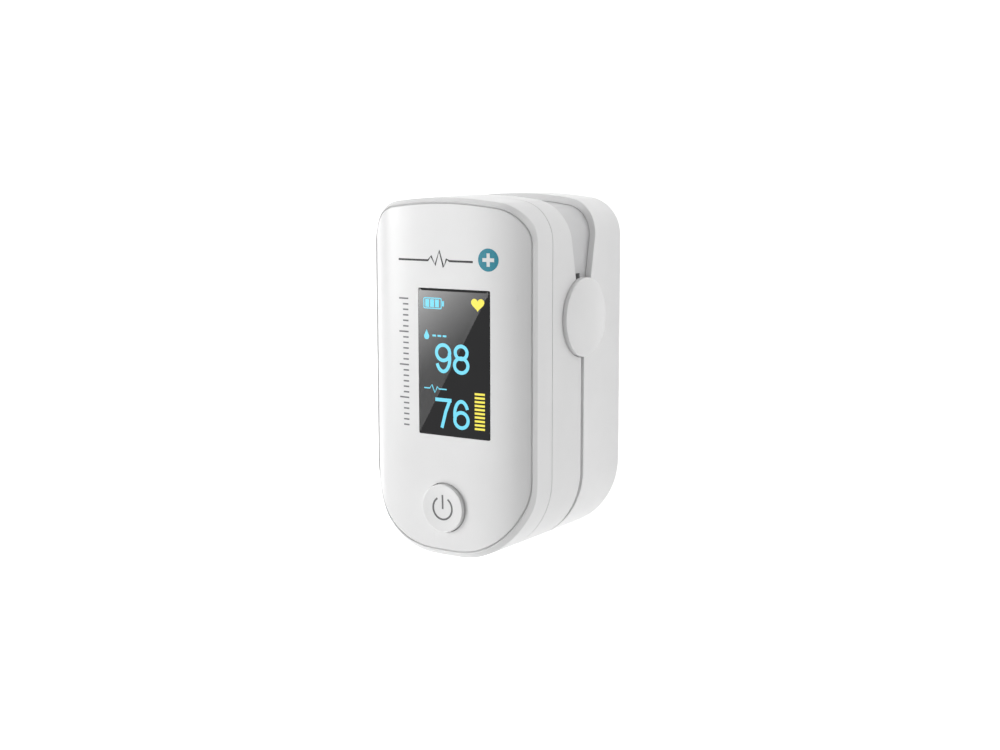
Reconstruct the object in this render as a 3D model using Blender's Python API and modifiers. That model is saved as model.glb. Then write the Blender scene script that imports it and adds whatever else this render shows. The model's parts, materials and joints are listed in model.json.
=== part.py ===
"""Fingertip pulse oximeter, lying on its battery door with the display facing up.

+X is to the right of the display, +Y runs from the finger mouth to the squeeze end and +Z
points out of the display. The origin is the middle of the back. The constants and every
coordinate below are in millimetres, and mesh data is scaled to metres when it is made.
"""

import math

import bmesh
import bpy
from mathutils import Matrix, Vector

MM = 0.001

# Driving dimensions of the body.
DEPTH = 31.4
FACE_WIDTH = 29.9
FACE_LENGTH = 56.0
FACE_Y = -0.33
TOP_CORNER = 5.85
TOP_CROWN = 1.65
MOUTH_CORNER = 12.55
MOUTH_CROWN = 1.0
FACE_ROLL = 2.45
FACE_ROLL_POWER = 5.25
BEZEL = 0.66
TOP_STEP = 0.25
TOP_STRETCH = 0.3
MOUTH_STEP = 0.55
MOUTH_STRETCH = 0.15
WALL = 1.06
GAP = 0.1

# Heights at which the housings part.
RING_SEAM_Z = 23.5
FRONT_RIM_Z = 14.3
REAR_RIM_Z = 13.45
FRONT_WEDGE = (7.1, 0.22)
REAR_WEDGE = (4.7, 0.20)
HALF_SPAN = 20.0
BODY_END = 40.0

# Hinge between the two halves.
HINGE_Y = 9.0
HINGE_Z = 13.9
PIN_RADIUS = 1.0
CAP_RADIUS = 6.5
CAP_BOSS = 3.0
LUG_RADIUS = 2.6
SPRING_RADIUS = 1.75
SPRING_WIRE = 0.45
SPRING_TURNS = 3.5

# Display, button and cover.
DISPLAY = (1.96, 2.3)
DISPLAY_SIZE = (13.7, 23.7)
WINDOW_THICKNESS = 0.93
COVER_THICKNESS = 1.4
BUTTON_Y = -21.4
BUTTON_RADIUS = 3.98
BUTTON_TOP = 32.1
FLANGE_RADIUS = 4.9
POSTS = ((-11.6, 13.2), (11.6, 13.2), (-11.4, -12.6), (11.4, -12.6))
POST_RADIUS = 1.5

# Electronics stack in the front half.
DECK_Z = (23.7, 24.5)
BOARD_Z = (25.4, 26.4)
BOARD_END_Y = 18.4
SENSOR_Y = -5.8

# Finger channel.
MOUTH_HALF_WIDTH = 8.2
MOUTH_TOP_Z = 22.4
PAD_HALF_WIDTH = 9.6
CHANNEL_HALF_WIDTH = 7.2
CHANNEL_TOP_Z = 22.3
PAD_Y = (-27.9, 3.0)

# Battery bay: two AAA cells side by side.
CELL_RADIUS = 5.25
CELL_LENGTH = 43.6
NUB_RADIUS = 1.9
NUB_LENGTH = 0.8
CELL_X = 5.4
CELL_Z = 6.5
BAY = (10.9, 24.4)
FLOOR = 2.2
DOOR_END_Y = -18.4
DOOR_HALF_WIDTH = 11.2
TONGUE_HALF_WIDTH = 12.5

CROWN_STEPS = 3
CORNER_STEPS = 6
ROUND_STEPS = 16
SMALL_STEPS = 10
DISC_STEPS = 28

WHITE = ((0.86, 0.86, 0.87), 0.38, 0.0)
GLOSS_WHITE = ((0.90, 0.90, 0.91), 0.16, 0.0)
FRAME_GREY = ((0.62, 0.63, 0.65), 0.5, 0.0)
SILICONE = ((0.30, 0.31, 0.33), 0.6, 0.0)
BLACK_GLASS = ((0.01, 0.01, 0.012), 0.05, 0.0)
BOARD_GREEN = ((0.03, 0.22, 0.11), 0.4, 0.0)
CHIP_BLACK = ((0.03, 0.03, 0.03), 0.5, 0.0)
STEEL = ((0.72, 0.72, 0.74), 0.25, 1.0)
NICKEL = ((0.78, 0.76, 0.72), 0.22, 1.0)
COPPER_FILM = ((0.72, 0.38, 0.12), 0.4, 0.2)
CELL_WRAP = ((0.05, 0.22, 0.42), 0.3, 0.1)
CERAMIC_TAN = ((0.55, 0.42, 0.28), 0.5, 0.0)
LED_CLEAR = ((0.85, 0.80, 0.72), 0.1, 0.0)


def clear_scene():
    for item in list(bpy.data.objects):
        bpy.data.objects.remove(item, do_unlink=True)


def make_collection(name):
    collection = bpy.data.collections.new(name)
    bpy.context.scene.collection.children.link(collection)
    return collection


def steps(start, end, count):
    """count + 1 evenly spaced values from start to end."""
    return [start + (end - start) * i / count for i in range(count + 1)]


def add_material(thing, finish):
    colour, roughness, metallic = finish
    material = bpy.data.materials.new(thing.name)
    material.use_nodes = True
    shader = material.node_tree.nodes["Principled BSDF"]
    shader.inputs["Base Color"].default_value = (*colour, 1.0)
    shader.inputs["Roughness"].default_value = roughness
    shader.inputs["Metallic"].default_value = metallic
    material.diffuse_color = (*colour, 1.0)
    thing.data.materials.append(material)


def add_object(name, shape, finish=None, location=(0, 0, 0)):
    """Turns a bmesh or an object data block into a part, or into a cutter without a finish."""
    if isinstance(shape, bmesh.types.BMesh):
        data = bpy.data.meshes.new(name)
        shape.to_mesh(data)
        shape.free()
    else:
        data = shape
    thing = bpy.data.objects.new(name, data)
    thing.location = Vector(location) * MM
    if finish is None:
        CUTTERS.objects.link(thing)
        thing.hide_render = True
        thing.display_type = "WIRE"
    else:
        PARTS.objects.link(thing)
        add_material(thing, finish)
    return thing


def boolean(thing, others, operation="DIFFERENCE"):
    for other in others:
        modifier = thing.modifiers.new(other.name, "BOOLEAN")
        modifier.operation = operation
        modifier.object = other
        modifier.solver = "EXACT"


def box_mesh(low, high):
    shape = bmesh.new()
    bmesh.ops.create_cube(shape, size=1.0)
    size = Vector(high) - Vector(low)
    bmesh.ops.scale(shape, vec=size * MM, verts=shape.verts)
    return shape


def middle(low, high):
    return (Vector(low) + Vector(high)) / 2


def box(name, low, high, finish=None, bevel=0.0):
    thing = add_object(name, box_mesh(low, high), finish, middle(low, high))
    if bevel:
        modifier = thing.modifiers.new("edge", "BEVEL")
        modifier.width = bevel * MM
        modifier.segments = 1
        modifier.limit_method = "ANGLE"
    return thing


def cylinder(name, radius, start, end, axis="Z", finish=None, segments=ROUND_STEPS):
    """A cylinder along axis from the point start to the coordinate end on that axis."""
    index = "XYZ".index(axis)
    stop = list(start)
    stop[index] = end
    shape = bmesh.new()
    bmesh.ops.create_cone(shape, cap_ends=True, segments=segments, radius1=radius * MM,
                          radius2=radius * MM, depth=abs(end - start[index]) * MM)
    turns = {"X": Matrix.Rotation(math.pi / 2, 4, "Y"),
             "Y": Matrix.Rotation(math.pi / 2, 4, "X"),
             "Z": Matrix.Identity(4)}
    bmesh.ops.transform(shape, matrix=turns[axis], verts=shape.verts)
    return add_object(name, shape, finish, middle(start, stop))


def turned(name, profile, finish, location=(0, 0, 0), axis="Z", segments=ROUND_STEPS):
    """Spins (radius, height) points, listed from top to bottom, about the part's own axis."""
    shape = bmesh.new()
    points = [shape.verts.new((radius * MM, 0, height * MM)) for radius, height in profile]
    for first, second in zip(points, points[1:]):
        shape.edges.new((first, second))
    thing = add_object(name, shape, finish, location)
    turns = {"X": (0, math.pi / 2, 0), "-X": (0, -math.pi / 2, 0),
             "Y": (-math.pi / 2, 0, 0), "-Y": (math.pi / 2, 0, 0),
             "Z": (0, 0, 0), "-Z": (math.pi, 0, 0)}
    thing.rotation_euler = turns[axis]
    modifier = thing.modifiers.new("turn", "SCREW")
    modifier.steps = segments
    modifier.render_steps = segments
    modifier.use_merge_vertices = True
    modifier.merge_threshold = 0.01 * MM
    modifier.use_smooth_shade = True
    return thing


def curve_to_mesh(curve_object):
    """A welded mesh copy of a curve object's data; the curve is removed."""
    graph = bpy.context.evaluated_depsgraph_get()
    graph.update()
    mesh = bpy.data.meshes.new_from_object(curve_object.evaluated_get(graph))
    bpy.data.objects.remove(curve_object, do_unlink=True)
    shape = bmesh.new()
    shape.from_mesh(mesh)
    bmesh.ops.remove_doubles(shape, verts=shape.verts, dist=0.001 * MM)
    bmesh.ops.recalc_face_normals(shape, faces=shape.faces)
    return shape


def flat_plate(points, thickness):
    """A bmesh of a flat outline in XY, thickness along Z and centred on Z = 0."""
    curve = bpy.data.curves.new("outline", "CURVE")
    curve.dimensions = "2D"
    curve.fill_mode = "BOTH"
    curve.extrude = thickness / 2 * MM
    spline = curve.splines.new("POLY")
    spline.points.add(len(points) - 1)
    for point, (x, y) in zip(spline.points, points):
        point.co = (x * MM, y * MM, 0, 1)
    spline.use_cyclic_u = True
    thing = bpy.data.objects.new("outline", curve)
    CUTTERS.objects.link(thing)
    return curve_to_mesh(thing)


def plate(name, points, low, high, finish=None):
    """A flat outline in XY that fills the heights from low to high."""
    return add_object(name, flat_plate(points, high - low), finish, (0, 0, (low + high) / 2))


def prism(name, points, axis, low, high, finish=None):
    """An outline in the plane across axis, X as (y, z) or Y as (x, z), from low to high."""
    shape = flat_plate(points, high - low)
    if axis == "X":
        turn = Matrix(((0, 0, 1, 0), (1, 0, 0, 0), (0, 1, 0, 0), (0, 0, 0, 1)))
        location = ((low + high) / 2, 0, 0)
    else:
        turn = Matrix(((1, 0, 0, 0), (0, 0, -1, 0), (0, 1, 0, 0), (0, 0, 0, 1)))
        location = (0, (low + high) / 2, 0)
    bmesh.ops.transform(shape, matrix=turn, verts=shape.verts)
    return add_object(name, shape, finish, location)


def wire(name, points, radius, finish):
    """A round wire along a list of points, with closed ends."""
    curve = bpy.data.curves.new(name, "CURVE")
    curve.dimensions = "3D"
    curve.bevel_depth = radius * MM
    curve.bevel_resolution = 2
    curve.use_fill_caps = True
    spline = curve.splines.new("POLY")
    spline.points.add(len(points) - 1)
    for point, place in zip(spline.points, points):
        point.co = (*(Vector(place) * MM), 1)
    return add_object(name, curve, finish)


def loft(rings, closed=False):
    """Skins rings that have the same number of points; open ends are capped."""
    shape = bmesh.new()
    loops = [[shape.verts.new(Vector(point) * MM) for point in ring] for ring in rings]
    pairs = list(zip(loops, loops[1:]))
    if closed:
        pairs.append((loops[-1], loops[0]))
    else:
        shape.faces.new(loops[0])
        shape.faces.new(loops[-1])
    for lower, upper in pairs:
        for i in range(len(lower)):
            j = (i + 1) % len(lower)
            shape.faces.new((lower[i], lower[j], upper[j], upper[i]))
    bmesh.ops.recalc_face_normals(shape, faces=shape.faces)
    return shape


def end_curve(half_width, corner, crown):
    """Points from the middle of a crowned end, at height 0, round its corner to the side."""
    crown_radius = (half_width ** 2 + crown ** 2) / (2 * crown)
    centre_x = half_width - corner
    centre_y = math.sqrt((crown_radius - corner) ** 2 - centre_x ** 2) - crown_radius
    turn = math.atan2(centre_x, centre_y + crown_radius)
    points = [(crown_radius * math.sin(a), crown_radius * (math.cos(a) - 1))
              for a in steps(0, turn, CROWN_STEPS)]
    points += [(centre_x + corner * math.sin(a), centre_y + corner * math.cos(a))
               for a in steps(turn, math.pi / 2, CORNER_STEPS)[1:]]
    return points


def outline(grow, top=0.0, mouth=0.0):
    """The face's outline grown evenly by grow, and by top and mouth more at its two ends."""
    half_width = FACE_WIDTH / 2 + grow
    top_y = FACE_Y + FACE_LENGTH / 2 + grow + top
    mouth_y = FACE_Y - FACE_LENGTH / 2 - grow - mouth
    upper = [(x, top_y + y) for x, y in end_curve(half_width, TOP_CORNER + grow, TOP_CROWN)]
    lower = [(x, mouth_y - y)
             for x, y in end_curve(half_width, MOUTH_CORNER + grow, MOUTH_CROWN)]
    right = upper + lower[::-1]
    left = [(-x, y) for x, y in right[-2:0:-1]]
    return right + left


def body_ring(z, inset=0.0):
    """The body's outline at height z; it lengthens from the face to the parting line."""
    share = min(1.0, (DEPTH - z) / (DEPTH - FRONT_RIM_Z))
    top = TOP_STEP + TOP_STRETCH * share
    mouth = MOUTH_STEP + MOUTH_STRETCH * share
    return outline(BEZEL - inset, top, mouth)


def level(points, z):
    return [(x, y, z) for x, y in points]


def face_height(x):
    """Height of the face, which rolls back towards its long edges."""
    return DEPTH - FACE_ROLL * min(1.0, abs(x) / (FACE_WIDTH / 2)) ** FACE_ROLL_POWER


def below_face(points, drop):
    return [(x, y, face_height(x) - drop) for x, y in points]


def wedge_line(wedge, rim_z, sign, shift=0.0):
    """Two points (y, z) on the sloping rim that opens towards the squeeze end."""
    start_y, slope = wedge
    rise = sign * slope * (BODY_END - start_y)
    return [(start_y, rim_z + shift), (BODY_END, rim_z + shift + rise)]


def mouth_outline(half_width, top_z, floor_z):
    """An arch (x, z) with an elliptical roof, open at floor_z."""
    spring_z = top_z - 0.72 * half_width
    roof = [(half_width * math.cos(a), spring_z + (top_z - spring_z) * math.sin(a))
            for a in steps(0, math.pi, 2 * CORNER_STEPS)]
    return [(half_width, floor_z)] + roof + [(-half_width, floor_z)]


def side_name(sign):
    return "left" if sign < 0 else "right"


# Front half ---------------------------------------------------------------------------------


def slice_across(shape, places):
    """Cuts a mesh into strips at the given distances on both sides of X = 0."""
    for x in places:
        for sign in (-1, 1):
            parts = shape.verts[:] + shape.edges[:] + shape.faces[:]
            bmesh.ops.bisect_plane(shape, geom=parts, plane_co=(sign * x * MM, 0, 0),
                                   plane_no=(1, 0, 0), dist=1e-7)


def display_box(name, grow, low, high, finish=None):
    """A box round the middle of the display, larger than the window by grow on each side."""
    half_x = DISPLAY_SIZE[0] / 2 + grow
    half_y = DISPLAY_SIZE[1] / 2 + grow
    x, y = DISPLAY
    return box(name, (x - half_x, y - half_y, low), (x + half_x, y + half_y, high), finish)


def make_face_cover():
    """Glossy face plate with the display opening, button hole and four screw posts."""
    shape = bmesh.new()
    ring = [shape.verts.new((x * MM, y * MM, 0)) for x, y in outline(0)]
    shape.faces.new(ring)
    slice_across(shape, (4, 7.5, 9.5, 11, 12, 12.9, 13.6, 14.2, 14.6))
    top = shape.faces[:]
    copy = bmesh.ops.extrude_face_region(shape, geom=top)
    lower = [item for item in copy["geom"] if isinstance(item, bmesh.types.BMVert)]
    for vert in shape.verts:
        vert.co.z = face_height(vert.co.x / MM) * MM
    for vert in lower:
        vert.co.z -= COVER_THICKNESS * MM
    bmesh.ops.triangulate(shape, faces=shape.faces)
    bmesh.ops.recalc_face_normals(shape, faces=shape.faces)
    cover = add_object("face_cover", shape, GLOSS_WHITE)
    posts = []
    bores = []
    for number, (x, y) in enumerate(POSTS):
        roof = face_height(x) - 0.5
        posts.append(cylinder(f"post_{number}", POST_RADIUS, (x, y, DECK_Z[1] + GAP), roof))
        bores.append(cylinder(f"post_bore_{number}", 0.8, (x, y, DECK_Z[1] - 1), 28.0))
    boolean(cover, posts, "UNION")
    opening = display_box("display_opening", GAP, 28, 33)
    hole = cylinder("button_hole", BUTTON_RADIUS + 0.12, (0, BUTTON_Y, 28), 33, segments=DISC_STEPS)
    boolean(cover, [opening, hole] + bores)
    return cover


def make_display_window():
    """Window that follows the roll of the face and lies just below it."""
    half_x = DISPLAY_SIZE[0] / 2
    half_y = DISPLAY_SIZE[1] / 2
    shape = box_mesh((-half_x, -half_y, -WINDOW_THICKNESS), (half_x, half_y, 0))
    centre = Vector((*DISPLAY, -WINDOW_THICKNESS / 2 - 0.02)) * MM
    bmesh.ops.translate(shape, vec=centre, verts=shape.verts)
    slice_across(shape, (4, 6, 7.5))
    for vert in shape.verts:
        vert.co.z += face_height(vert.co.x / MM) * MM
    bmesh.ops.triangulate(shape, faces=shape.faces)
    return add_object("display_window", shape, BLACK_GLASS)


def make_front_housing():
    """Chamfered bezel ring that carries the face cover on an inner ledge."""
    low = RING_SEAM_Z + GAP
    drop = COVER_THICKNESS + 0.3
    rings = [
        level(body_ring(low, WALL), low),
        level(body_ring(low), low),
        below_face(outline(BEZEL, TOP_STEP, MOUTH_STEP), 0.72),
        below_face(outline(0.2), 0.06),
        below_face(outline(0.2), drop),
        below_face(outline(-1.3), drop),
        below_face(outline(-1.3), drop + 1.0),
        below_face(body_ring(27, WALL), drop + 2.0),
    ]
    return add_object("front_housing", loft(rings, closed=True), WHITE)


def make_mid_housing():
    """Second housing ring with the finger mouth, hinge lugs and the wedge at its squeeze end."""
    top = RING_SEAM_Z
    rings = [
        level(body_ring(top), top),
        level(body_ring(FRONT_RIM_Z), FRONT_RIM_Z),
        level(body_ring(FRONT_RIM_Z, WALL - 0.1), FRONT_RIM_Z),
        level(body_ring(top, WALL - 0.1), top),
    ]
    housing = add_object("mid_housing", loft(rings, closed=True), WHITE)
    shelf = plate("hinge_shelf", outline(-0.1), top - 0.9, top - 0.1)
    shelf_end = box("shelf_end", (-13, 14.6, top - 2), (13, BODY_END, top + 2))
    shelf_tip = box("shelf_tip", (-HALF_SPAN, 15.2, top - 2), (HALF_SPAN, BODY_END, top + 2))
    pad_slot = box("pad_slot", (-10.2, -BODY_END, top - 2), (10.2, PAD_Y[1] + 0.2, top + 2))
    boolean(shelf, [shelf_end, shelf_tip, pad_slot])
    added = [shelf]
    removed = []
    for sign in (-1, 1):
        side = side_name(sign)
        added.append(box(f"front_lug_web_{side}",
                         (sign * 12.55 - 0.55, HINGE_Y - LUG_RADIUS, HINGE_Z),
                         (sign * 12.55 + 0.55, HINGE_Y + LUG_RADIUS, top - 0.5)))
        added.append(cylinder(f"front_lug_{side}", LUG_RADIUS,
                              (sign * 12.0, HINGE_Y, HINGE_Z), sign * 13.1, "X"))
        removed.append(cylinder(f"front_lug_bore_{side}", PIN_RADIUS + GAP,
                                (sign * 11, HINGE_Y, HINGE_Z), sign * 13.9, "X"))
    boolean(housing, added, "UNION")
    rim = wedge_line(FRONT_WEDGE, FRONT_RIM_Z, 1)
    squeeze = prism("front_wedge", rim + [(BODY_END, 5)] + [(FRONT_WEDGE[0], 5)],
                    "X", -HALF_SPAN, HALF_SPAN)
    bridge = box("lug_keep", (-13.3, 0, 5), (13.3, HINGE_Y + 4, 18))
    boolean(squeeze, [bridge])
    mouth = prism("front_mouth", mouth_outline(MOUTH_HALF_WIDTH, MOUTH_TOP_Z, 5), "Y", -31, -18)
    for number, (x, y) in enumerate(POSTS):
        removed.append(cylinder(f"shelf_bore_{number}", 0.9, (x, y, top - 3), top + 3))
    boolean(housing, [squeeze, mouth] + removed + hinge_recesses("front"))
    return housing


def hinge_recesses(prefix):
    """Shallow round pockets and through holes for the hinge caps, one pair per side."""
    cutters = []
    for sign in (-1, 1):
        side = side_name(sign)
        cutters.append(cylinder(f"{prefix}_cap_pocket_{side}", CAP_RADIUS + 0.3,
                                (sign * 15.25, HINGE_Y, HINGE_Z), sign * 18, "X",
                                segments=DISC_STEPS))
        cutters.append(cylinder(f"{prefix}_cap_hole_{side}", CAP_BOSS + 0.3,
                                (sign * 13.9, HINGE_Y, HINGE_Z), sign * 16, "X"))
    return cutters


def make_front_deck():
    """Inner frame between the circuit board and the finger channel."""
    deck = plate("front_deck", outline(-1.2), *DECK_Z, FRAME_GREY)
    end = box("deck_end", (-HALF_SPAN, BOARD_END_Y, 20), (HALF_SPAN, BODY_END, 28))
    window = box("emitter_window", (-2.5, SENSOR_Y - 2.2, 20), (2.5, SENSOR_Y + 2.2, 28))
    bores = [cylinder(f"deck_bore_{number}", 0.9, (x, y, 20), 28)
             for number, (x, y) in enumerate(POSTS)]
    boolean(deck, [end, window] + bores)
    return deck


def make_main_board():
    board = plate("main_board", outline(-2.7), *BOARD_Z, BOARD_GREEN)
    end = box("board_end", (-HALF_SPAN, BOARD_END_Y - 0.6, 20), (HALF_SPAN, BODY_END, 30))
    notches = [cylinder(f"board_notch_{number}", POST_RADIUS + 0.35, (x, y, 20), 30)
               for number, (x, y) in enumerate(POSTS)]
    boolean(board, [end] + notches)
    return board


def folded_film(name, half_width, centre, radius, side, runs, film=0.16):
    """A thin strip across X, folded half round towards side, with a lower and an upper run."""
    def fold(size):
        return [(centre[0] + side * size * math.sin(a), centre[1] - size * math.cos(a))
                for a in steps(0, math.pi, SMALL_STEPS)]

    def tails(size):
        return [(centre[0] - side * runs[0], centre[1] - size),
                (centre[0] - side * runs[1], centre[1] + size)]

    outer_low, outer_high = tails(radius)
    inner_low, inner_high = tails(radius - film)
    path = [outer_low] + fold(radius) + [outer_high]
    back = [inner_low] + fold(radius - film) + [inner_high]
    return prism(name, path + back[::-1], "X", -half_width, half_width, COPPER_FILM)


def make_display_module():
    """Light display panel in a plastic holder, joined to the board by a ribbon."""
    holder = display_box("oled_holder", 0.2, 26.5, 28.3, CHIP_BLACK)
    relief = display_box("holder_relief", -1.3, 25, 29)
    boolean(holder, [relief])
    panel = display_box("oled_panel", -0.2, 28.4, 29.8, BLACK_GLASS)
    low_y = DISPLAY[1] - DISPLAY_SIZE[1] / 2
    ribbon = folded_film("oled_ribbon", 4.0, (low_y - 0.5, 27.9), 1.2, -1, (0.3, 0.6))
    ribbon.location.x = DISPLAY[0] * MM
    return [holder, panel, ribbon]


def make_board_parts():
    """Components soldered to the display side of the board."""
    top = BOARD_Z[1] + 0.05
    chips = [
        ("microcontroller", (-6.2, -14.6), (6.0, 6.0, 1.0), CHIP_BLACK),
        ("regulator", (-0.6, -13.4), (2.9, 1.6, 1.0), CHIP_BLACK),
        ("crystal", (-0.6, -15.9), (3.2, 1.5, 0.7), STEEL),
        ("capacitor_1", (-9.2, 16.4), (2.0, 1.25, 0.9), CERAMIC_TAN),
        ("capacitor_2", (-5.6, 16.4), (2.0, 1.25, 0.9), CERAMIC_TAN),
        ("capacitor_3", (5.0, 16.4), (2.0, 1.25, 0.9), CERAMIC_TAN),
        ("inductor", (9.0, 16.3), (2.5, 2.0, 1.2), CHIP_BLACK),
    ]
    made = []
    for name, (x, y), (width, length, height), finish in chips:
        low = (x - width / 2, y - length / 2, top)
        high = (x + width / 2, y + length / 2, top + height)
        made.append(box(name, low, high, finish, bevel=0.1))
    made.append(cylinder("buzzer", 3.6, (6.4, -15.4, top), top + 1.9, finish=CHIP_BLACK))
    return made


def make_power_switch():
    """Tactile switch body under the power button."""
    low = BOARD_Z[1] + 0.05
    switch = box("tact_switch", (-2.6, BUTTON_Y - 2.6, low), (2.6, BUTTON_Y + 2.6, low + 1.45),
                 STEEL, bevel=0.15)
    bore = cylinder("switch_bore", 1.5, (0, BUTTON_Y, low + 0.35), low + 3)
    boolean(switch, [bore])
    return switch


def make_power_button():
    """Round dished button with a retaining flange and a stem that reaches into its switch."""
    base = 27.35
    profile = [(0, BUTTON_TOP - 0.18), (1.6, BUTTON_TOP - 0.15), (2.8, BUTTON_TOP - 0.08),
               (3.75, BUTTON_TOP), (BUTTON_RADIUS - 0.05, BUTTON_TOP - 0.06),
               (BUTTON_RADIUS, BUTTON_TOP - 0.2), (BUTTON_RADIUS, 29.8),
               (FLANGE_RADIUS, 29.8), (FLANGE_RADIUS, 29.2), (1.3, 29.2), (1.3, base), (0, base)]
    centred = [(radius, z - DEPTH) for radius, z in profile]
    return turned("power_button", centred, GLOSS_WHITE, (0, BUTTON_Y, DEPTH), segments=DISC_STEPS)


def make_emitter():
    board = box("emitter_board", (-4.2, SENSOR_Y - 3, 24.6), (4.2, SENSOR_Y + 3, 25.15),
                BOARD_GREEN)
    led = box("led_emitter", (-1.8, SENSOR_Y - 1.5, 22.45), (1.8, SENSOR_Y + 1.5, 24.5),
              LED_CLEAR, bevel=0.15)
    return [board, led]


def make_front_finger_pad():
    """Soft half-pipe over the finger, with an end stop and a window for the emitter."""
    floor_z = 14.5
    outer = [(PAD_HALF_WIDTH, floor_z), (PAD_HALF_WIDTH, 20.6), (PAD_HALF_WIDTH - 2.8, 23.35),
             (2.8 - PAD_HALF_WIDTH, 23.35), (-PAD_HALF_WIDTH, 20.6), (-PAD_HALF_WIDTH, floor_z)]
    pad = prism("front_finger_pad", outer, "Y", *PAD_Y, SILICONE)
    channel = prism("front_channel", mouth_outline(CHANNEL_HALF_WIDTH, CHANNEL_TOP_Z, 5), "Y",
                    -31, PAD_Y[1] - 1.2)
    window = box("front_pad_window", (-2.1, SENSOR_Y - 1.8, 20), (2.1, SENSOR_Y + 1.8, 25))
    end_trim = mouth_trim("front_pad_trim")
    boolean(pad, [channel, window, end_trim])
    return pad


def mouth_trim(name):
    """Everything outside the body's inner wall near the finger mouth."""
    block = box(name, (-HALF_SPAN, -BODY_END, 5), (HALF_SPAN, -20, 25))
    inside = plate(f"{name}_inside", body_ring(FRONT_RIM_Z, WALL + 0.1), 4, 26)
    boolean(block, [inside])
    return block


def make_screw(name, x, y, head_z, length, upward=True):
    """Pan head screw; its head bottom lies at head_z and its shank runs on from there."""
    profile = [(0, length), (0.35, length), (0.7, length - 0.5), (0.7, 0.0), (1.35, 0.0),
               (1.35, -0.5), (0.95, -0.75), (0.5, -0.75), (0.35, -0.4), (0, -0.4)]
    axis = "Z" if upward else "-Z"
    return turned(name, profile, STEEL, (x, y, head_z), axis, SMALL_STEPS)


def make_deck_screws():
    head_z = RING_SEAM_Z - 0.9 - 0.05
    return [make_screw(f"deck_screw_{number + 1}", x, y, head_z, 5.2)
            for number, (x, y) in enumerate(POSTS)]


# Rear half ----------------------------------------------------------------------------------


def rear_outer_rings(shrink=0.0):
    return [
        level(body_ring(0, 1.45 + shrink), 0),
        level(body_ring(0, 0.75 + shrink), 0.22),
        level(body_ring(0, 0.22 + shrink), 0.75),
        level(body_ring(0, shrink), 1.6),
        level(body_ring(REAR_RIM_Z, shrink), REAR_RIM_Z),
    ]


def make_rear_housing():
    """Back shell with the battery bay opening, door grooves and screw seats."""
    rings = rear_outer_rings()
    rings.append(level(body_ring(REAR_RIM_Z, WALL), REAR_RIM_Z))
    rings.append(level(body_ring(FLOOR, WALL), FLOOR))
    housing = add_object("rear_housing", loft(rings), WHITE)
    rim = wedge_line(REAR_WEDGE, REAR_RIM_Z, -1)
    squeeze = prism("rear_wedge", rim + [(BODY_END, 30), (REAR_WEDGE[0], 30)], "X",
                    -HALF_SPAN, HALF_SPAN)
    half_x, half_y = BAY
    bay = box("bay_opening", (-half_x, -half_y, 1.15), (half_x, half_y, 4))
    slot = box("door_slot", (-DOOR_HALF_WIDTH, DOOR_END_Y, -1), (DOOR_HALF_WIDTH, BODY_END, 0.7))
    groove = box("door_groove", (-TONGUE_HALF_WIDTH, DOOR_END_Y, 0.6),
                 (TONGUE_HALF_WIDTH, BODY_END, 1.25))
    notch = box("rear_mouth", (-MOUTH_HALF_WIDTH, -31, 12.65), (MOUTH_HALF_WIDTH, -20, 20))
    seats = []
    for number, (x, y, head_z) in enumerate(rear_screw_places()):
        seats.append(cylinder(f"screw_seat_{number}", 1.5, (x, y, -1), head_z, segments=16))
        seats.append(cylinder(f"screw_way_{number}", 0.85, (x, y, -1), 5, segments=16))
    boolean(housing, [squeeze, bay, slot, groove, notch] + seats + hinge_recesses("rear"))
    return housing


def rear_screw_places():
    """x, y and the height of the head's underside for the four screws of the rear half."""
    return [(-6.4, -26.0, 1.1), (6.4, -26.0, 1.1), (-7.6, 25.7, 2.05), (7.6, 25.7, 2.05)]


def make_rear_screws():
    return [make_screw(f"rear_screw_{number + 1}", x, y, head_z - 0.05, 4.6)
            for number, (x, y, head_z) in enumerate(rear_screw_places())]


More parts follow.
